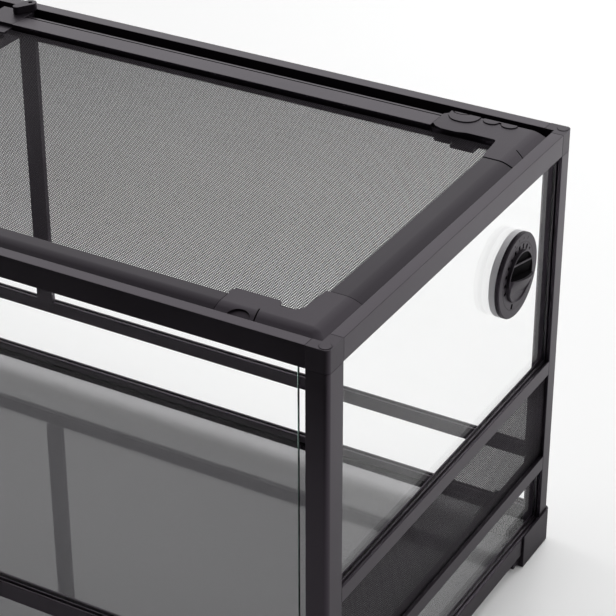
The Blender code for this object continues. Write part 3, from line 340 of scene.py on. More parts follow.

# %% [markdown]
# Six plastics come from that recipe. One black would be simpler, but the lid's rails are duller
# than the frame's, the mesh is coated wire, and the knob's hollows get a near-black, barely
# mirroring plastic as painted shade. The port's rim is pale grey.

# %% Plastics
rail_black = plastic(
    "rail_black", (0.0100, 0.0080, 0.0108), (0.0140, 0.0118, 0.0150),
    (0.28, 0.36), 900.0, 0.08, 1.60,
)
lid_black = plastic(
    "lid_black", (0.0100, 0.0082, 0.0110), (0.0145, 0.0125, 0.0155),
    (0.34, 0.42), 900.0, 0.10, 1.43,
)
moulded_black = plastic(
    "moulded_black", (0.0125, 0.0105, 0.0135), (0.0170, 0.0150, 0.0180),
    (0.36, 0.46), 1600.0, 0.18, 1.56,
)
wire_black = plastic(
    "wire_black", (0.030, 0.028, 0.031), (0.040, 0.037, 0.041), (0.30, 0.42), 2500.0, 0.05
)
# Painted shade for the knob's hollows: near-black and barely mirroring, though they are the knob's
# own plastic
hollow_painted_shade = plastic(
    "hollow_painted_shade", (0.0030, 0.0025, 0.0032), (0.0045, 0.0040, 0.0048),
    (0.50, 0.60), 1600.0, 0.30, 1.06,
)
rim_grey = plastic(
    "rim_grey", (0.82, 0.81, 0.83), (0.88, 0.87, 0.89), (0.34, 0.42), 1500.0, 0.06
)
print("6 plastics")

# %% [markdown]
# Float glass is clear across and green along its cut edges, where the eye looks through much
# more of it. Cycles would cast dark shadows from solid glass, so a shadow ray passes it as if
# it were a tinted film. The floor pane's grey tint and darker film are painted shade, for the
# shadowed floor under the tank seen through it. The clear panes bend the light less than real
# glass does, because they mirror very little in the photograph.

# %% Glass
def glass(name, tint, film, smear=(0.0, 0.012), ior=1.5):
    material = bpy.data.materials.new(name)
    material.use_nodes = True
    tree = material.node_tree
    shader = tree.nodes["Principled BSDF"]
    output = tree.nodes["Material Output"]
    shader.inputs["Base Color"].default_value = (*tint, 1.0)
    shader.inputs["Transmission Weight"].default_value = 1.0
    shader.inputs["IOR"].default_value = ior
    marks = use_group(tree, handling_group, Scale=5.0, Contrast=0.30)
    smudge = add_node(
        tree, "ShaderNodeMapRange", {"Value": marks, "To Min": smear[0], "To Max": smear[1]}
    )
    tree.links.new(smudge.outputs[0], shader.inputs["Roughness"])
    through = add_node(tree, "ShaderNodeBsdfTransparent", {"Color": (*film, 1.0)})
    rays = add_node(tree, "ShaderNodeLightPath")
    mix = add_node(
        tree, "ShaderNodeMixShader",
        {0: rays.outputs["Is Shadow Ray"], 1: shader.outputs[0], 2: through.outputs[0]},
    )
    tree.links.new(mix.outputs[0], output.inputs["Surface"])
    return material


clear_glass = glass("clear_glass", (0.998, 1.0, 0.999), (0.98, 0.985, 0.983), ior=1.20)
edge_glass = glass("glass_edge", (0.10, 0.22, 0.17), (0.30, 0.45, 0.38), (0.10, 0.20))
# Painted shade: the floor pane's grey tint and film darken the floor seen under the tank
smoked_glass = glass("smoked_glass", (0.362, 0.357, 0.367), (0.54, 0.535, 0.545))
print("3 kinds of glass")

# %% [markdown]
# CAD solids have knife edges. On the real tank each edge is rounded by a few tenths of a
# millimetre, and that round draws the fine light lines along every rail. The solids could be
# rounded in the CAD model, at the price of many faces. Here a copy of each solid is joined up
# and its flat triangles are merged, so that modifiers can work on it.

# %% Copy of a solid
JOIN_DISTANCE = 0.00002
FLAT_ANGLE = math.radians(0.5)


def joined_mesh(node, name):
    """Copy of a CAD node's mesh with shared corners and whole flat faces."""
    shape = bmesh.new()
    shape.from_mesh(NODES[node].data)
    bmesh.ops.remove_doubles(shape, verts=shape.verts, dist=JOIN_DISTANCE)
    bmesh.ops.dissolve_limit(
        shape, angle_limit=FLAT_ANGLE, verts=shape.verts, edges=shape.edges
    )
    mesh = bpy.data.meshes.new(name)
    shape.to_mesh(mesh)
    shape.free()
    mesh.materials.clear()
    return mesh


def piece_from(mesh, name):
    piece = bpy.data.objects.new(name, mesh)
    bpy.context.scene.collection.objects.link(piece)
    return piece


def settle(piece):
    """Turns a piece with modifiers into a plain mesh."""
    depsgraph = bpy.context.evaluated_depsgraph_get()
    finished = bpy.data.meshes.new_from_object(piece.evaluated_get(depsgraph))
    old = piece.data
    piece.modifiers.clear()
    piece.data = finished
    finished.name = piece.name
    bpy.data.meshes.remove(old)
    return piece


print("helpers for copies ready")

# %% [markdown]
# Details are carved with the Boolean modifier and edges are rounded with the Bevel modifier.
# A large flat face would look swollen after smoothing, so Weighted Normal turns its shading
# back to flat and leaves the change of light to the narrow rounds.

# %% Carving and rounding
EDGE_ANGLE = math.radians(18.0)
SHADE_ANGLE = math.radians(40.0)
ROUND_STEPS = 2
FLAT_WEIGHT = 90


def carve(piece, tools):
    """Cuts the tool meshes out of a piece."""
    cutters = [piece_from(tool, "cutter") for tool in tools]
    for cutter in cutters:
        modifier = piece.modifiers.new("carve", "BOOLEAN")
        modifier.operation = "DIFFERENCE"
        modifier.solver = "EXACT"
        modifier.object = cutter
    settle(piece)
    for cutter in cutters:
        bpy.data.objects.remove(cutter)
    return piece


def bevel(piece, width, segments):
    modifier = piece.modifiers.new("round", "BEVEL")
    modifier.width = width
    modifier.segments = segments
    modifier.limit_method = "ANGLE"
    modifier.angle_limit = EDGE_ANGLE
    return settle(piece)


def round_edges(piece, width):
    """Rounds the edges, and keeps the large faces flat to the light by weighing the normals."""
    bevel(piece, width, ROUND_STEPS)
    piece.data.shade_smooth()
    piece.data.set_sharp_from_angle(angle=SHADE_ANGLE)
    modifier = piece.modifiers.new("flat_faces", "WEIGHTED_NORMAL")
    modifier.keep_sharp = True
    modifier.weight = FLAT_WEIGHT
    return settle(piece)


print("edges over", round(math.degrees(EDGE_ANGLE)), "degrees get a round")

# %% [markdown]
# The ridges along the lid's slopes are soft, with a radius of some millimetres. They are found
# by their angle, blunter than a square edge, and by their length, which leaves the steps of
# round outlines alone. A bevel with many steps rounds them before anything is carved.

# %% Soft ridges
BLUNT_FROM = 0.24
BLUNT_TO = math.radians(62.0)
SHORTEST_RIDGE = 2.5
RIDGE_STEPS = 6


def soften(mesh, width):
    """Rounds the blunt edges, such as the ridge where a slope starts, with a large radius."""
    shape = bmesh.new()
    shape.from_mesh(mesh)
    blunt = [
        edge for edge in shape.edges
        if len(edge.link_faces) == 2 and BLUNT_FROM < edge.calc_face_angle(0.0) < BLUNT_TO
        and edge.calc_length() > SHORTEST_RIDGE * width
    ]
    bmesh.ops.bevel(
        shape, geom=blunt, offset=width, segments=RIDGE_STEPS, profile=0.5, affect="EDGES",
        clamp_overlap=True,
    )
    shape.to_mesh(mesh)
    shape.free()


print("ridges up to", round(math.degrees(BLUNT_TO)), "degrees get soft")

# %% [markdown]
# A finished copy stands in for its solid: it gets its material, rides on the same body, so that
# it moves as the solid does, and the solid is hidden. Each piece could be dressed by itself, but
# rails and mouldings differ only in their names, materials and rounds, so two helpers do it.

# %% Standing in for a solid
RAIL_ROUND = 0.0004
TOP_REACH = 0.0002


def stand_in(piece, material, body, slot, *nodes):
    """Gives a finished piece its material and body, and hides the solids it stands for; slot is
    not used.
    """
    if not piece.data.materials:
        piece.data.materials.append(material)
    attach(piece, body)
    if nodes:
        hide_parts(*nodes)
    return piece


def raise_top(mesh, rise):
    """Lifts the top face of a flat piece."""
    top = max(vert.co.z for vert in mesh.vertices)
    for vert in mesh.vertices:
        if vert.co.z > top - TOP_REACH:
            vert.co.z += rise


def rounded_copy(node, name, width, tools, soft=0.0, rise=0.0):
    piece = piece_from(joined_mesh(node, name), name)
    if soft:
        soften(piece.data, soft)
    if rise:
        raise_top(piece.data, rise)
    if tools:
        carve(piece, tools)
    return round_edges(piece, width)


def extrusion(node, material, tools=(), soft=0.0):
    piece = rounded_copy(node, f"{node}_extrusion", RAIL_ROUND, tools, soft)
    return stand_in(piece, material, BODY_OF[node], "rail", node)


def moulding(node, width, tools=(), soft=0.0, rise=0.0):
    piece = rounded_copy(node, f"{node}_moulding", width, tools, soft, rise)
    return stand_in(piece, moulded_black, BODY_OF[node], "moulded", node)


print("rails are rounded by", RAIL_ROUND * 1000, "mm")

# %% [markdown]
# Slits, grooves and recesses are small next to the tank. Editing the solids' own faces would be
# fiddly, so they go in with a few simple shapes: an upright prism over any outline, and the
# outlines of a disc and a strip. Such a shape is cut out of a piece, or stands on it.

# %% Outlines and prisms
CIRCLE_STEPS = 40


def prism(name, outline, low, high):
    """Upright prism over an outline of (x, y) points."""
    count = len(outline)
    points = [(x, y, z) for z in (low, high) for x, y in outline]
    faces = [tuple(range(count - 1, -1, -1)), tuple(range(count, 2 * count))]
    for index in range(count):
        after = (index + 1) % count
        faces.append((index, after, after + count, index + count))
    mesh = bpy.data.meshes.new(name)
    mesh.from_pydata(points, [], faces)
    return mesh


def block(name, low, high):
    """Straight block between two corners."""
    outline = [(low[0], low[1]), (high[0], low[1]), (high[0], high[1]), (low[0], high[1])]
    return prism(name, outline, low[2], high[2])


def disc(centre, radius):
    return [
        (centre[0] + radius * math.cos(math.tau * step / CIRCLE_STEPS),
         centre[1] + radius * math.sin(math.tau * step / CIRCLE_STEPS))
        for step in range(CIRCLE_STEPS)
    ]


def strip(start, end, width):
    """Outline of a straight strip between two points."""
    start, end = Vector(start), Vector(end)
    along = end - start
    aside = Vector((-along.y, along.x)).normalized() * width / 2
    return [tuple(corner) for corner in (start - aside, end - aside, end + aside, start + aside)]


print("a circle has", CIRCLE_STEPS, "steps")

# %% [markdown]
# A ring is a skin over loops of points that closes on itself. Blender's Spin could make it from
# a profile. Joining listed loops needs no open mesh, and one helper then makes the port's rim
# and the round grooves. Several shapes joined into one mesh work as one cutter, and a shape for
# the right side of the tank is mirrored for the left.

# %% Loops, joined shapes and mirror images
def turned_outwards(mesh):
    """The same mesh with all its faces pointing outwards."""
    shape = bmesh.new()
    shape.from_mesh(mesh)
    bmesh.ops.recalc_face_normals(shape, faces=shape.faces)
    shape.to_mesh(mesh)
    shape.free()
    return mesh


def joined_loops(name, loops):
    """Skin over loops of points, each joined to the next one, and the last to the first."""
    count = len(loops[0])
    points = [tuple(point) for loop in loops for point in loop]
    faces = []
    for number in range(len(loops)):
        first, second = number * count, (number + 1) % len(loops) * count
        for index in range(count):
            after = (index + 1) % count
            faces.append((first + index, second + index, second + after, first + after))
    mesh = bpy.data.meshes.new(name)
    mesh.from_pydata(points, [], faces)
    return turned_outwards(mesh)


def join_shapes(name, meshes):
    shape = bmesh.new()
    for mesh in meshes:
        shape.from_mesh(mesh)
        bpy.data.meshes.remove(mesh)
    joined = bpy.data.meshes.new(name)
    shape.to_mesh(joined)
    shape.free()
    return turned_outwards(joined)


def mirrored(outline, side):
    """The outline for the right corner, or its mirror image for the left one."""
    points = [(side * x, y) for x, y in outline]
    return points if side > 0 else points[::-1]


def side_block(name, side, low, high):
    """Block on the right side, or its mirror image on the left."""
    near, far = sorted((side * low[0], side * high[0]))
    return block(name, (near, *low[1:]), (far, *high[1:]))


print("cutting tools ready")

# %% [markdown]
# The rails and posts of the real tank are plastic profiles, cut to length. They could be drawn
# and extruded again, but a rounded copy of each solid is all they need, and keeps their size.
# The lid's front and side rails have a soft ridge, and the side rails stop short of the
# connector behind them, which leaves a dark seam.

# %% Rails and posts
RAIL_ENDINGS = ("_rail", "_belt", "_post", "_mullion", "_crossbar")
RIDGE_ROUND = 0.0045
SEAM = 0.0016
SEAM_FLOOR = 0.40
ABOVE_LID = 0.47


def channel(name, front, back, floor):
    """Straight cut along the whole lid, from its floor up."""
    return block(name, (-1.0, front, floor), (1.0, back, ABOVE_LID))


plain_nodes = [
    node for node in NODES if node.endswith(RAIL_ENDINGS) and node != "lid_front_rail"
]
for node in plain_nodes:
    extrusion(node, rail_black)
extrusion("lid_front_rail", lid_black, soft=RIDGE_ROUND)
for side in ("left", "right"):
    node = f"lid_side_rail_{side}"
    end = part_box(node)[1].y
    seam = channel("seam", end - SEAM, end + SEAM, SEAM_FLOOR)
    extrusion(node, lid_black, (seam,), RIDGE_ROUND)
print(len(plain_nodes) + 3, "rails and posts")

# %% [markdown]
# The lid's back rails drop by a step to the mesh, with a groove under the step that looks quite
# black, and have a narrow groove along their outer edge. The whole profile could be drawn. Each
# of these is one straight channel instead, so that it can be moved or made deeper by itself.

# %% Back rails of the lid
BELOW_LID = 0.44
LID_INSIDE = 0.1500
NET_EDGE = 0.1625
STEP_EDGE = 0.1673
STEP_LEVEL = 0.4506
GROOVE_FLOOR = 0.4478
GROOVE_LIP = 0.0009
OUTER_GROOVE = (0.1886, 0.1924)
OUTER_FLOOR = 0.4515

for side in ("left", "right"):
    extrusion(f"lid_back_rail_{side}", rail_black, (
        channel("inner_edge", LID_INSIDE, NET_EDGE, BELOW_LID),
        channel("groove", NET_EDGE + GROOVE_LIP, STEP_EDGE, GROOVE_FLOOR),
        channel("lip", LID_INSIDE, STEP_EDGE, STEP_LEVEL),
        channel("outer_groove", *OUTER_GROOVE, OUTER_FLOOR),
    ))
print("2 back rails, stepped at", STEP_EDGE, "m")

# %% [markdown]
# Each front connector of the lid has a half-moon finger recess, sunk into the slope, and a
# slit. A dark patch could be painted there, but it would look flat from the side. A disc whose
# floor slopes the other way than the connector cuts the half-moon: it is deep at its arch and
# runs out at its straight side.

# %% Front connectors
RECESS_CENTRE = (0.5104, -0.2125)
RECESS_RADIUS = 0.0112
RECESS_LEVELS = (0.4447, 0.4528)
FRONT_SLIT = ((0.5215, -0.1946), (0.5252, -0.2123))
FRONT_SLIT_FLOOR = 0.4465
SLIT_WIDTH = 0.0012
LID_TOP = 0.4600
MOULD_ROUND = 0.0005


def sloping_disc(name, centre, radius, levels, side):
    """Upright disc whose floor slopes from its front to its back."""
    mesh = prism(name, mirrored(disc(centre, radius), side), 0.0, LID_TOP)
    for vert in mesh.vertices:
        if vert.co.z == 0.0:
            share = (vert.co.y - centre[1] + radius) / (2 * radius)
            vert.co.z = levels[0] + (levels[1] - levels[0]) * share
    return mesh


def slit(name, ends, floor, side):
    """Narrow cut between two points, from its floor up."""
    return prism(name, mirrored(strip(*ends, SLIT_WIDTH), side), floor, LID_TOP)


def front_connector(side, label):
    recess = sloping_disc("recess", RECESS_CENTRE, RECESS_RADIUS, RECESS_LEVELS, side)
    cut = slit("slit", FRONT_SLIT, FRONT_SLIT_FLOOR, side)
    moulding(f"lid_front_corner_{label}", MOULD_ROUND, (recess, cut), RIDGE_ROUND)


print("finger recesses", 2000 * RECESS_RADIUS, "mm wide")

# %% [markdown]
# Each back connector has a slit too, a cut-away flange beside the mesh, and a gap round its
# flaps. The gap could be modelled on its own. It is simpler to grow the flaps' own shape a
# little on every side and to cut that out, so that the gap always follows them.

# %% Back connectors
BACK_SLIT = ((0.5755, 0.1592), (0.5880, 0.1512))
BACK_SLIT_FLOOR = 0.4480
FLANGE_SPAN = (0.4500, 0.5745)
FLANGE_EDGE = 0.1680
FLANGE_TOP = 0.4520
FLAP_GAP = 0.0006


def flange_cut(side, floor, edge):
    """Cut into the flange beside the mesh, from its floor up and back to its edge."""
    near, far = FLANGE_SPAN
    return side_block("flange", side, (near, LID_INSIDE, floor), (far, edge, FLANGE_TOP))


def swollen(node, amount):
    """The shape of a piece, grown a little on every side, for cutting the gap round it."""
    mesh = joined_mesh(node, "swollen")
    for vert in mesh.vertices:
        vert.co = vert.co + vert.normal * amount
    return mesh


def back_connector(side, label):
    moulding(f"lid_back_corner_{label}", MOULD_ROUND, (
        slit("slit", BACK_SLIT, BACK_SLIT_FLOOR, side),
        flange_cut(side, BELOW_LID, NET_EDGE),
        flange_cut(side, GROOVE_FLOOR, FLANGE_EDGE),
        swollen(f"inlet_cover_large_{label}", FLAP_GAP),
        swollen(f"inlet_cover_pair_{label}", FLAP_GAP),
    ), RIDGE_ROUND)


print("flaps stand in gaps of", FLAP_GAP * 1000, "mm")

# %% [markdown]
# The inlet flaps stand a little proud of the connector, and the large one has a curved line
# pressed into it. They could be modelled anew, but it is enough to lift the top of a copy and
# to follow the line with short slits. Two small clamps hold the mesh under the cut-away flange.

# %% Inlet flaps and net clamps
FLAP_RISE = 0.0009
DIMPLE = (
    (0.4915, 0.2020), (0.4950, 0.1995), (0.4998, 0.1988), (0.5045, 0.2000), (0.5085, 0.2025)
)
DIMPLE_FLOOR = 0.4545
CLAMPS = (((0.4950, 0.1560), (0.5110, 0.1660)), ((0.5140, 0.1505), (0.5370, 0.1660)))
CLAMP_LOW, CLAMP_HIGH = 0.4456, 0.4492
CLAMP_ROUND = 0.0003


def inlet_flaps(side, label):
    line = [slit("line", ends, DIMPLE_FLOOR, side) for ends in zip(DIMPLE, DIMPLE[1:])]
    moulding(f"inlet_cover_large_{label}", MOULD_ROUND, line, rise=FLAP_RISE)
    moulding(f"inlet_cover_pair_{label}", MOULD_ROUND, rise=FLAP_RISE)


def net_clamps(side, label):
    clamps = join_shapes("clamps", [
        side_block("clamp", side, (*low, CLAMP_LOW), (*high, CLAMP_HIGH)) for low, high in CLAMPS
    ])
    piece = piece_from(clamps, f"net_clamps_{label}")
    round_edges(piece, CLAMP_ROUND)
    stand_in(piece, moulded_black, BODY_OF[f"lid_back_corner_{label}"], "moulded")


print("flaps stand", FLAP_RISE * 1000, "mm proud")

# %% [markdown]
# The lid's left half mirrors its right half. One half could be built and mirrored as a whole,
# but each flap turns by itself and each connector stands for its own solid. So the four helpers
# run once for each side.

# %% Both sides of the lid
SIDES = ((-1, "left"), (1, "right"))

for side, label in SIDES:
    front_connector(side, label)
    back_connector(side, label)
    inlet_flaps(side, label)
    net_clamps(side, label)
print(4 * len(SIDES), "lid mouldings and", len(SIDES), "pairs of clamps")

# %% [markdown]
# The feet wrap the bottom corners, the coupler joins the lid's two back rails, and the latch
# holds the lid down. They could be carved further, but their solids already have all the forms
# that the photograph shows, so they only get their round.

# %% Feet, coupler and latch
PLAIN_MOULDINGS = ("foot_", "lid_back_coupler", "lid_latch")
PLAIN_ROUND = 0.0004

moulded_nodes = [node for node in sorted(NODES) if node.startswith(PLAIN_MOULDINGS)]
for node in moulded_nodes:
    moulding(node, PLAIN_ROUND)
print(len(moulded_nodes), "mouldings")

# %% [markdown]
# Each top corner of the frame is closed by a round cap, which shows as a fine ring. The cap
# could be a piece of its own. A ring cut into the corner draws it just as well, and leaves the
# cap and the corner one piece, as their solid is.

# %% Top corners with their round caps
CAP_RADIUS = 0.0049
CAP_INSET = (0.5939, 0.2189)
CAP_GROOVE = 0.0005
CAP_DEPTH = 0.0008
RAIL_TOP = 0.4550
CUT_CLEARANCE = 0.001
CORNER_ROUND = 0.00025


def ring(name, centre, inner, outer, low, high):
    """Upright ring, the shape of a round groove."""
    return joined_loops(name, [
        [(*point, z) for point in disc(centre, radius)]
        for z, radius in ((low, inner), (low, outer), (high, outer), (high, inner))
    ])


for across, side in SIDES:
    for along, end in ((-1, "front"), (1, "back")):
        groove = ring(
            "cap_groove", (across * CAP_INSET[0], along * CAP_INSET[1]),
            CAP_RADIUS, CAP_RADIUS + CAP_GROOVE, RAIL_TOP - CAP_DEPTH, RAIL_TOP + CUT_CLEARANCE,
        )
        moulding(f"top_{end}_{side}_corner", CORNER_ROUND, (groove,))
print("4 top corners")

# %% [markdown]
# A pane's arrises are ground to a small flat chamfer, and its faces are truly flat, so it is
# bevelled without smoothing. One glass that soaks up light inside could show both its clear
# faces and its green edges. Two plain kinds of glass are simpler, and each can be set by itself,
# so the narrow faces get a glass of their own.

# %% Panes
PANE_CHAMFER = 0.0003
FACING = 0.9


def pane(node, face_glass, slot):
    name = f"{node}_pane"
    piece = piece_from(joined_mesh(node, name), name)
    bevel(piece, PANE_CHAMFER, 1)
    mesh = piece.data
    mesh.shade_flat()
    mesh.materials.append(face_glass)
    mesh.materials.append(edge_glass)
    low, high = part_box(node)
    size = high - low
    thin = min(range(3), key=lambda axis: size[axis])
    for face in mesh.polygons:
        face.material_index = 0 if abs(face.normal[thin]) > FACING else 1
    return stand_in(piece, face_glass, BODY_OF[node], slot, node)


glass_nodes = [node for node in NODES if node.endswith(("_glass", "_door"))]
for node in glass_nodes:
    if node == "floor_glass":
        pane(node, smoked_glass, "smoked_glass")
    else:
        pane(node, clear_glass, "glass")
print(len(glass_nodes), "panes")

# %% [markdown]
# The lid and the side strips are woven from black wire. A net is two layers of straight wires,
# one over the other. Geometry Nodes lay one wire along a line of points for each layer, so the
# pitch and the wire's thickness are two numbers that can be changed at any time. A wire that
# bends over and under the others would cost many times the faces, and nobody would see it.

# %% One layer of wires
NET_PITCH = 0.0021
WIRE_RADIUS = 0.00033
WIRE_SIDES = 6
LAYER_LIFT = 0.8


def wire_layer(tree, sizes, along, across, turn, lift):
    """Straight wires side by side, as many as fit across the net, centred on the origin."""
    gaps = calculate(tree, "DIVIDE", sizes[across], sizes["Pitch"])
    count = calculate(tree, "FLOOR", gaps, 0.0)
    span = calculate(tree, "MULTIPLY", count, sizes["Pitch"])
    first = add_node(
        tree, "ShaderNodeCombineXYZ", {"Z": calculate(tree, "MULTIPLY", sizes["Radius"], lift)}
    )
    step = add_node(tree, "ShaderNodeCombineXYZ")
    axis = "Y" if along == "Length" else "X"
    tree.links.new(calculate(tree, "MULTIPLY", span, -0.5), first.inputs[axis])
    tree.links.new(sizes["Pitch"], step.inputs[axis])
    line = add_node(
        tree, "GeometryNodeMeshLine",
        {"Count": calculate(tree, "ADD", count, 1.0), "Start Location": first.outputs[0],
         "Offset": step.outputs[0]},
        mode="OFFSET",
    )
    wire = add_node(
        tree, "GeometryNodeMeshCylinder",
        {"Vertices": WIRE_SIDES, "Radius": sizes["Radius"], "Depth": sizes[along]},
        fill_type="NGON",
    )
    placed = add_node(
        tree, "GeometryNodeInstanceOnPoints",
        {"Points": line.outputs["Mesh"], "Instance": wire.outputs["Mesh"], "Rotation": turn},
    )
    return placed.outputs[0]


print("wires", 2 * WIRE_RADIUS * 1000, "mm thick, every", NET_PITCH * 1000, "mm")

# %% [markdown]
# The tree joins the two layers, makes their instances real and paints them. Its inputs have
# names, and a modifier sets them by their identifiers before it is first used.

# %% The net's tree
NET_SIZES = {"Length": 1.0, "Width": 0.3, "Pitch": NET_PITCH, "Radius": WIRE_RADIUS}


def net_tree(material):
    """Flat net in the XY plane, centred on the origin."""
    tree = bpy.data.node_groups.new("wire_net", "GeometryNodeTree")
    for label, default in NET_SIZES.items():
        socket = tree.interface.new_socket(label, in_out="INPUT", socket_type="NodeSocketFloat")
        socket.default_value = default
    tree.interface.new_socket("Geometry", in_out="OUTPUT", socket_type="NodeSocketGeometry")
    sizes = tree.nodes.new("NodeGroupInput").outputs
    end = tree.nodes.new("NodeGroupOutput").inputs
    both = tree.nodes.new("GeometryNodeJoinGeometry")
    quarter = math.pi / 2
    for along, across, turn, lift in (
        ("Length", "Width", (0.0, quarter, 0.0), LAYER_LIFT),
        ("Width", "Length", (quarter, 0.0, 0.0), -LAYER_LIFT),
    ):
        tree.links.new(wire_layer(tree, sizes, along, across, turn, lift), both.inputs[0])
    real = add_node(tree, "GeometryNodeRealizeInstances", {0: both.outputs[0]})
    painted = add_node(tree, "GeometryNodeSetMaterial", {0: real.outputs[0], "Material": material})
    tree.links.new(painted.outputs[0], end[0])
    return tree


NET_TREE = net_tree(wire_black)
print("net tree with", len(NET_TREE.nodes), "nodes")

# %% [markdown]
# One net lies in the lid and ends just under the back rails' step. Two stand in the side walls,
# turned upright. Their sizes come from the boxes of the solids they replace, so that a net
# always fills its frame.

# %% Lay the nets
NET_TUCK = 0.0006


def lay_net(node, length, width, place):
    name = f"{node}_wires"
    net = piece_from(bpy.data.meshes.new(name), name)
    modifier = net.modifiers.new("net", "NODES")
    modifier.node_group = NET_TREE
    sizes = {**NET_SIZES, "Length": length, "Width": width}
    for item in NET_TREE.interface.items_tree:
        if item.in_out == "INPUT":
            modifier[item.identifier] = sizes[item.name]
    settle(net)
    net.data.transform(place)
    net.data.shade_smooth()
    stand_in(net, wire_black, BODY_OF[node], "net", node)
    print(name, len(net.data.polygons), "faces")


low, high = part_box("lid_net")
high.y = NET_EDGE + NET_TUCK
size = high - low
lay_net("lid_net", size.x, size.y, Matrix.Translation((low + high) / 2))
for node in ("left_vent_net", "right_vent_net"):
    low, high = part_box(node)
    size = high - low
    upright = Matrix.Translation((low + high) / 2) @ Matrix.Rotation(math.pi / 2, 4, "Y")
    lay_net(node, size.z, size.y, upright)

# %% [markdown]
# The ventilation port's rim is a turned part: a profile spun round the port's axis. Its short
# sleeve passes through the pane and ends in a lip that snaps behind it. It could be put together
# from tubes, but one profile keeps all its steps in one short list, from the seat on the glass
# to the lip.

# %% Rim of the port
PORT_CENTRE = Vector((0.600, 0.1125, 0.3573))
SPIN_STEPS = 96
RIM_ROUND = 0.0006
RIM_PROFILE = (
    (-0.0060, 0.0315), (-0.0060, 0.0402), (-0.0002, 0.0402), (-0.0002, 0.0300),
    (-0.0117, 0.0300), (-0.0117, 0.0321), (-0.0104, 0.0321), (-0.0104, 0.0315),
)


def spun(name, profile):
    """Closed profile of (x, radius) points turned round the port's axis."""
    loops = []
    for step in range(SPIN_STEPS):
        angle = math.tau * step / SPIN_STEPS
        loops.append([
            PORT_CENTRE + Vector((x, radius * math.cos(angle), radius * math.sin(angle)))
            for x, radius in profile
        ])
    return piece_from(joined_loops(name, loops), name)


rim = spun("port_rim_turning", RIM_PROFILE)
round_edges(rim, RIM_ROUND)
stand_in(rim, rim_grey, "frame", "rim", "port_rim")
print("rim", len(rim.data.polygons), "faces")

# %% [markdown]
# The bezel is a moulded ring with a scale of four fine ticks. They could be painted on, but a
# cut catches the light from every side. The ticks are bars that lie along the port's radii and
# are cut into the ring's face.

# %% Bezel with its scale of ticks
TICK_ANGLES = [60.5 + 15.2 * index for index in range(4)]
TICK_START, TICK_LENGTH, TICK_WIDTH = 0.0338, 0.0026, 0.0007
TICK_FLOOR, TICK_TOP = 0.0036, 0.0070
BEZEL_ROUND = 0.0003
STAND_UP = Matrix(((0, 0, 1, 0), (1, 0, 0, 0), (0, 1, 0, 0), (0, 0, 0, 1)))


def port_bar(radius, length, width, low, high, angle):
    """Small bar lying along a radius of the port, between two heights over the glass plane."""
    mesh = prism("bar", strip((radius, 0.0), (radius + length, 0.0), width), low, high)
    mesh.transform(STAND_UP)
    mesh.transform(Matrix.Rotation(math.radians(angle), 4, "X"))
    mesh.transform(Matrix.Translation(PORT_CENTRE))
    return mesh


ticks = join_shapes("ticks", [
    port_bar(TICK_START, TICK_LENGTH, TICK_WIDTH, TICK_FLOOR, TICK_TOP, angle)
    for angle in TICK_ANGLES
])
bezel = piece_from(joined_mesh("port_bezel", "port_bezel_moulding"), "port_bezel_moulding")
carve(bezel, [ticks])
round_edges(bezel, BEZEL_ROUND)
stand_in(bezel, moulded_black, "frame", "moulded", "port_bezel")
print("bezel with", len(TICK_ANGLES), "ticks")

# %% [markdown]
# The dial is a disc with nine air slots and a raised knob. The solid has both, but its knob is
# plainer than the real one. So the disc is the solid with its knob cut off by a large bar, and
# the next cells make a new knob. Two small marks are cut beside the slots.

# %% Dial with its air slots
DIAL_FACE = 0.00412
DIAL_REACH = 0.03
KNOB_TOP = 0.05
MARKS = ((0.0270, 0.0024, 0.0024, 40.0), (0.0262, 0.0046, 0.0036, -113.0))
MARK_FLOOR, MARK_TOP = 0.0028, 0.0200
DIAL_ROUND = 0.0002

dial = piece_from(joined_mesh("port_dial", "port_dial_moulding"), "port_dial_moulding")
above_face = port_bar(-DIAL_REACH, 2 * DIAL_REACH, 2 * DIAL_REACH, DIAL_FACE, KNOB_TOP, 0.0)
marks = [
    port_bar(start, length, width, MARK_FLOOR, MARK_TOP, angle)
    for start, length, width, angle in MARKS
]
carve(dial, [above_face, *marks])
round_edges(dial, DIAL_ROUND)
stand_in(dial, moulded_black, "port_dial", "moulded", "port_dial")
print("dial", len(dial.data.polygons), "faces")

# %% [markdown]
# The knob is a height map, worked out at each point of a fine grid: a rim, an arched bar across
# it with a steep side above and a gentle side below, and two hollows above the bar, one behind
# the other, whose floors rise towards the rim. Booleans could cut such hollows from a block,
# but a height map lets all the forms run smoothly into each other.

# %% Shape of the knob, in millimetres
KNOB_RADIUS = 24.5
RIM_HEIGHT = 2.9
RIM_DROP = 0.4
RIM_EDGE = 0.5
RIM_INSIDE = 23.4
RIM_BLEND = 1.6
HOLLOW_FLOOR = 0.3
DISH_FLOOR = 1.5
BAR_HEIGHT = 9.2
BAR_ARCH = 0.4
BAR_END = 21.7
BAR_END_BLEND = 1.8
BAR_BELOW = 15.5
BAR_CURVE = 0.35
CREST_PLACE = 13.3
STEP_WIDTH = 1.1


def smooth(value):
    value = min(max(value, 0.0), 1.0)
    return value * value * (3 - 2 * value)


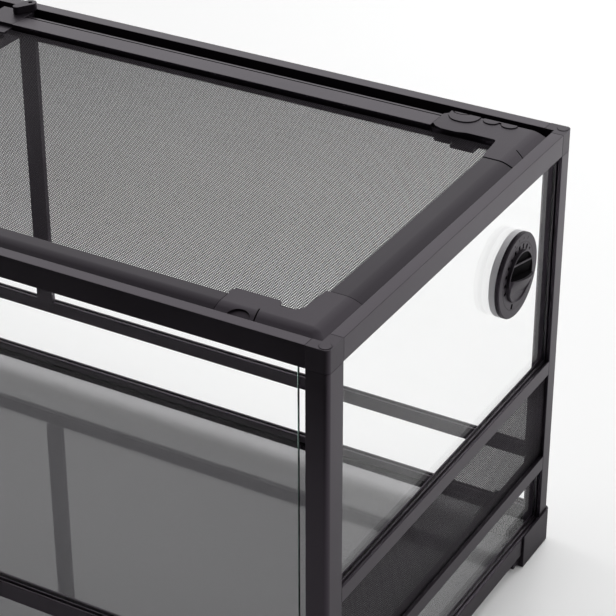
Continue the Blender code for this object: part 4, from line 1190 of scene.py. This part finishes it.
def knob_height(along, across):
    """Height over the dial at a point along the bar and up across it."""
    radius = math.hypot(along, across)
    inside = smooth((RIM_INSIDE - radius) / RIM_BLEND)
    rim = RIM_HEIGHT - RIM_DROP * smooth((radius - KNOB_RADIUS + RIM_EDGE) / RIM_EDGE)
    bar = BAR_HEIGHT * (1 - BAR_ARCH * (along / BAR_END) ** 2)
    bar = rim + (bar - rim) * smooth((BAR_END + RIM_BLEND - abs(along)) / BAR_END_BLEND)
    if across > 0:
        far = across > CREST_PLACE
        start, end = (CREST_PLACE, RIM_INSIDE) if far else (0.0, CREST_PLACE)
        share = (across - start) / (end - start)
        floor = HOLLOW_FLOOR + (RIM_HEIGHT - HOLLOW_FLOOR) * min(share, 1.0)
        top = RIM_HEIGHT if far else bar
        step = smooth((across - start) / STEP_WIDTH)
        return rim + ((top + (floor - top) * step) - rim) * inside
    share = max(1 + across / BAR_BELOW, 0.0)
    dish = rim + (DISH_FLOOR - rim) * inside
    slope = BAR_CURVE * smooth(share) + (1 - BAR_CURVE) * share
    return dish + (bar - dish) * slope


print("bar at its middle:", round(knob_height(0.0, 0.0), 2), "mm")

# %% [markdown]
# A square grid over the knob would leave a jagged rim. Here rows of points run along the bar,
# and each row ends on the knob's round rim, so that the rim is a clean circle. The rows lie
# closer together near the top and bottom, where the circle is flat. A wall and a floor close
# the mesh, and a turn gives the knob its tilt.

# %% Mesh of the knob
GRIP_TILT = math.radians(-13.0)
KNOB_ROWS = 200
KNOB_COLUMNS = 90
LAST_ROW = 88.0
KNOB_SUNK = 0.6


def knob_mesh(name):
    shape = bmesh.new()
    grid = []
    for row in range(KNOB_ROWS + 1):
        turn = math.radians(2 * LAST_ROW * row / KNOB_ROWS - LAST_ROW)
        across = KNOB_RADIUS * math.sin(turn)
        reach = math.sqrt(KNOB_RADIUS ** 2 - across ** 2)
        places = [reach * (2 * column / KNOB_COLUMNS - 1) for column in range(KNOB_COLUMNS + 1)]
        grid.append([shape.verts.new((knob_height(x, across), x, across)) for x in places])
    for row, after in zip(grid, grid[1:]):
        for column in range(KNOB_COLUMNS):
            shape.faces.new((row[column], row[column + 1], after[column + 1], after[column]))
    edge = [item for item in shape.edges if item.is_boundary]
    wall = bmesh.ops.extrude_edge_only(shape, edges=edge)["geom"]
    for item in wall:
        if isinstance(item, bmesh.types.BMVert):
            item.co.x = -KNOB_SUNK
    bmesh.ops.holes_fill(shape, edges=[item for item in shape.edges if item.is_boundary])
    bmesh.ops.recalc_face_normals(shape, faces=shape.faces)
    mesh = bpy.data.meshes.new(name)
    shape.to_mesh(mesh)
    shape.free()
    mesh.transform(Matrix.Scale(0.001, 4))
    mesh.transform(Matrix.Rotation(GRIP_TILT, 4, "X"))
    mesh.transform(Matrix.Translation(PORT_CENTRE + Vector((DIAL_FACE, 0.0, 0.0))))
    return mesh


knob = piece_from(knob_mesh("port_knob_moulding"), "port_knob_moulding")
print("knob", len(knob.data.polygons), "faces")

# %% [markdown]
# The hollows above the bar get a near-black, matt plastic as painted shade, apart from the crest
# between them. They could be pieces of their own, but a mesh can carry two materials. The faces
# of the second one are picked by their place on the knob, seen with its tilt undone.

# %% Painted shade in the knob's hollows
ABOVE_BAR = 0.2
CREST_HALF = 0.6
FLAT_FACE = 0.995
KNOB_SHADE_ANGLE = math.radians(50.0)

knob.data.materials.append(moulded_black)
knob.data.materials.append(hollow_painted_shade)
untilted = Matrix.Rotation(-GRIP_TILT, 4, "X") @ Matrix.Translation(-PORT_CENTRE)
for face in knob.data.polygons:
    spot = untilted @ face.center
    across = spot.z * 1000
    inside = math.hypot(spot.y, spot.z) * 1000 < RIM_INSIDE
    on_crest = abs(across - CREST_PLACE) < CREST_HALF
    # faces in the hollows get the painted shade
    if across > ABOVE_BAR and inside and face.normal.x < FLAT_FACE and not on_crest:
        face.material_index = 1
knob.data.shade_smooth()
knob.data.set_sharp_from_angle(angle=KNOB_SHADE_ANGLE)
stand_in(knob, moulded_black, "port_dial", "moulded")
print("black faces:", sum(face.material_index for face in knob.data.polygons))
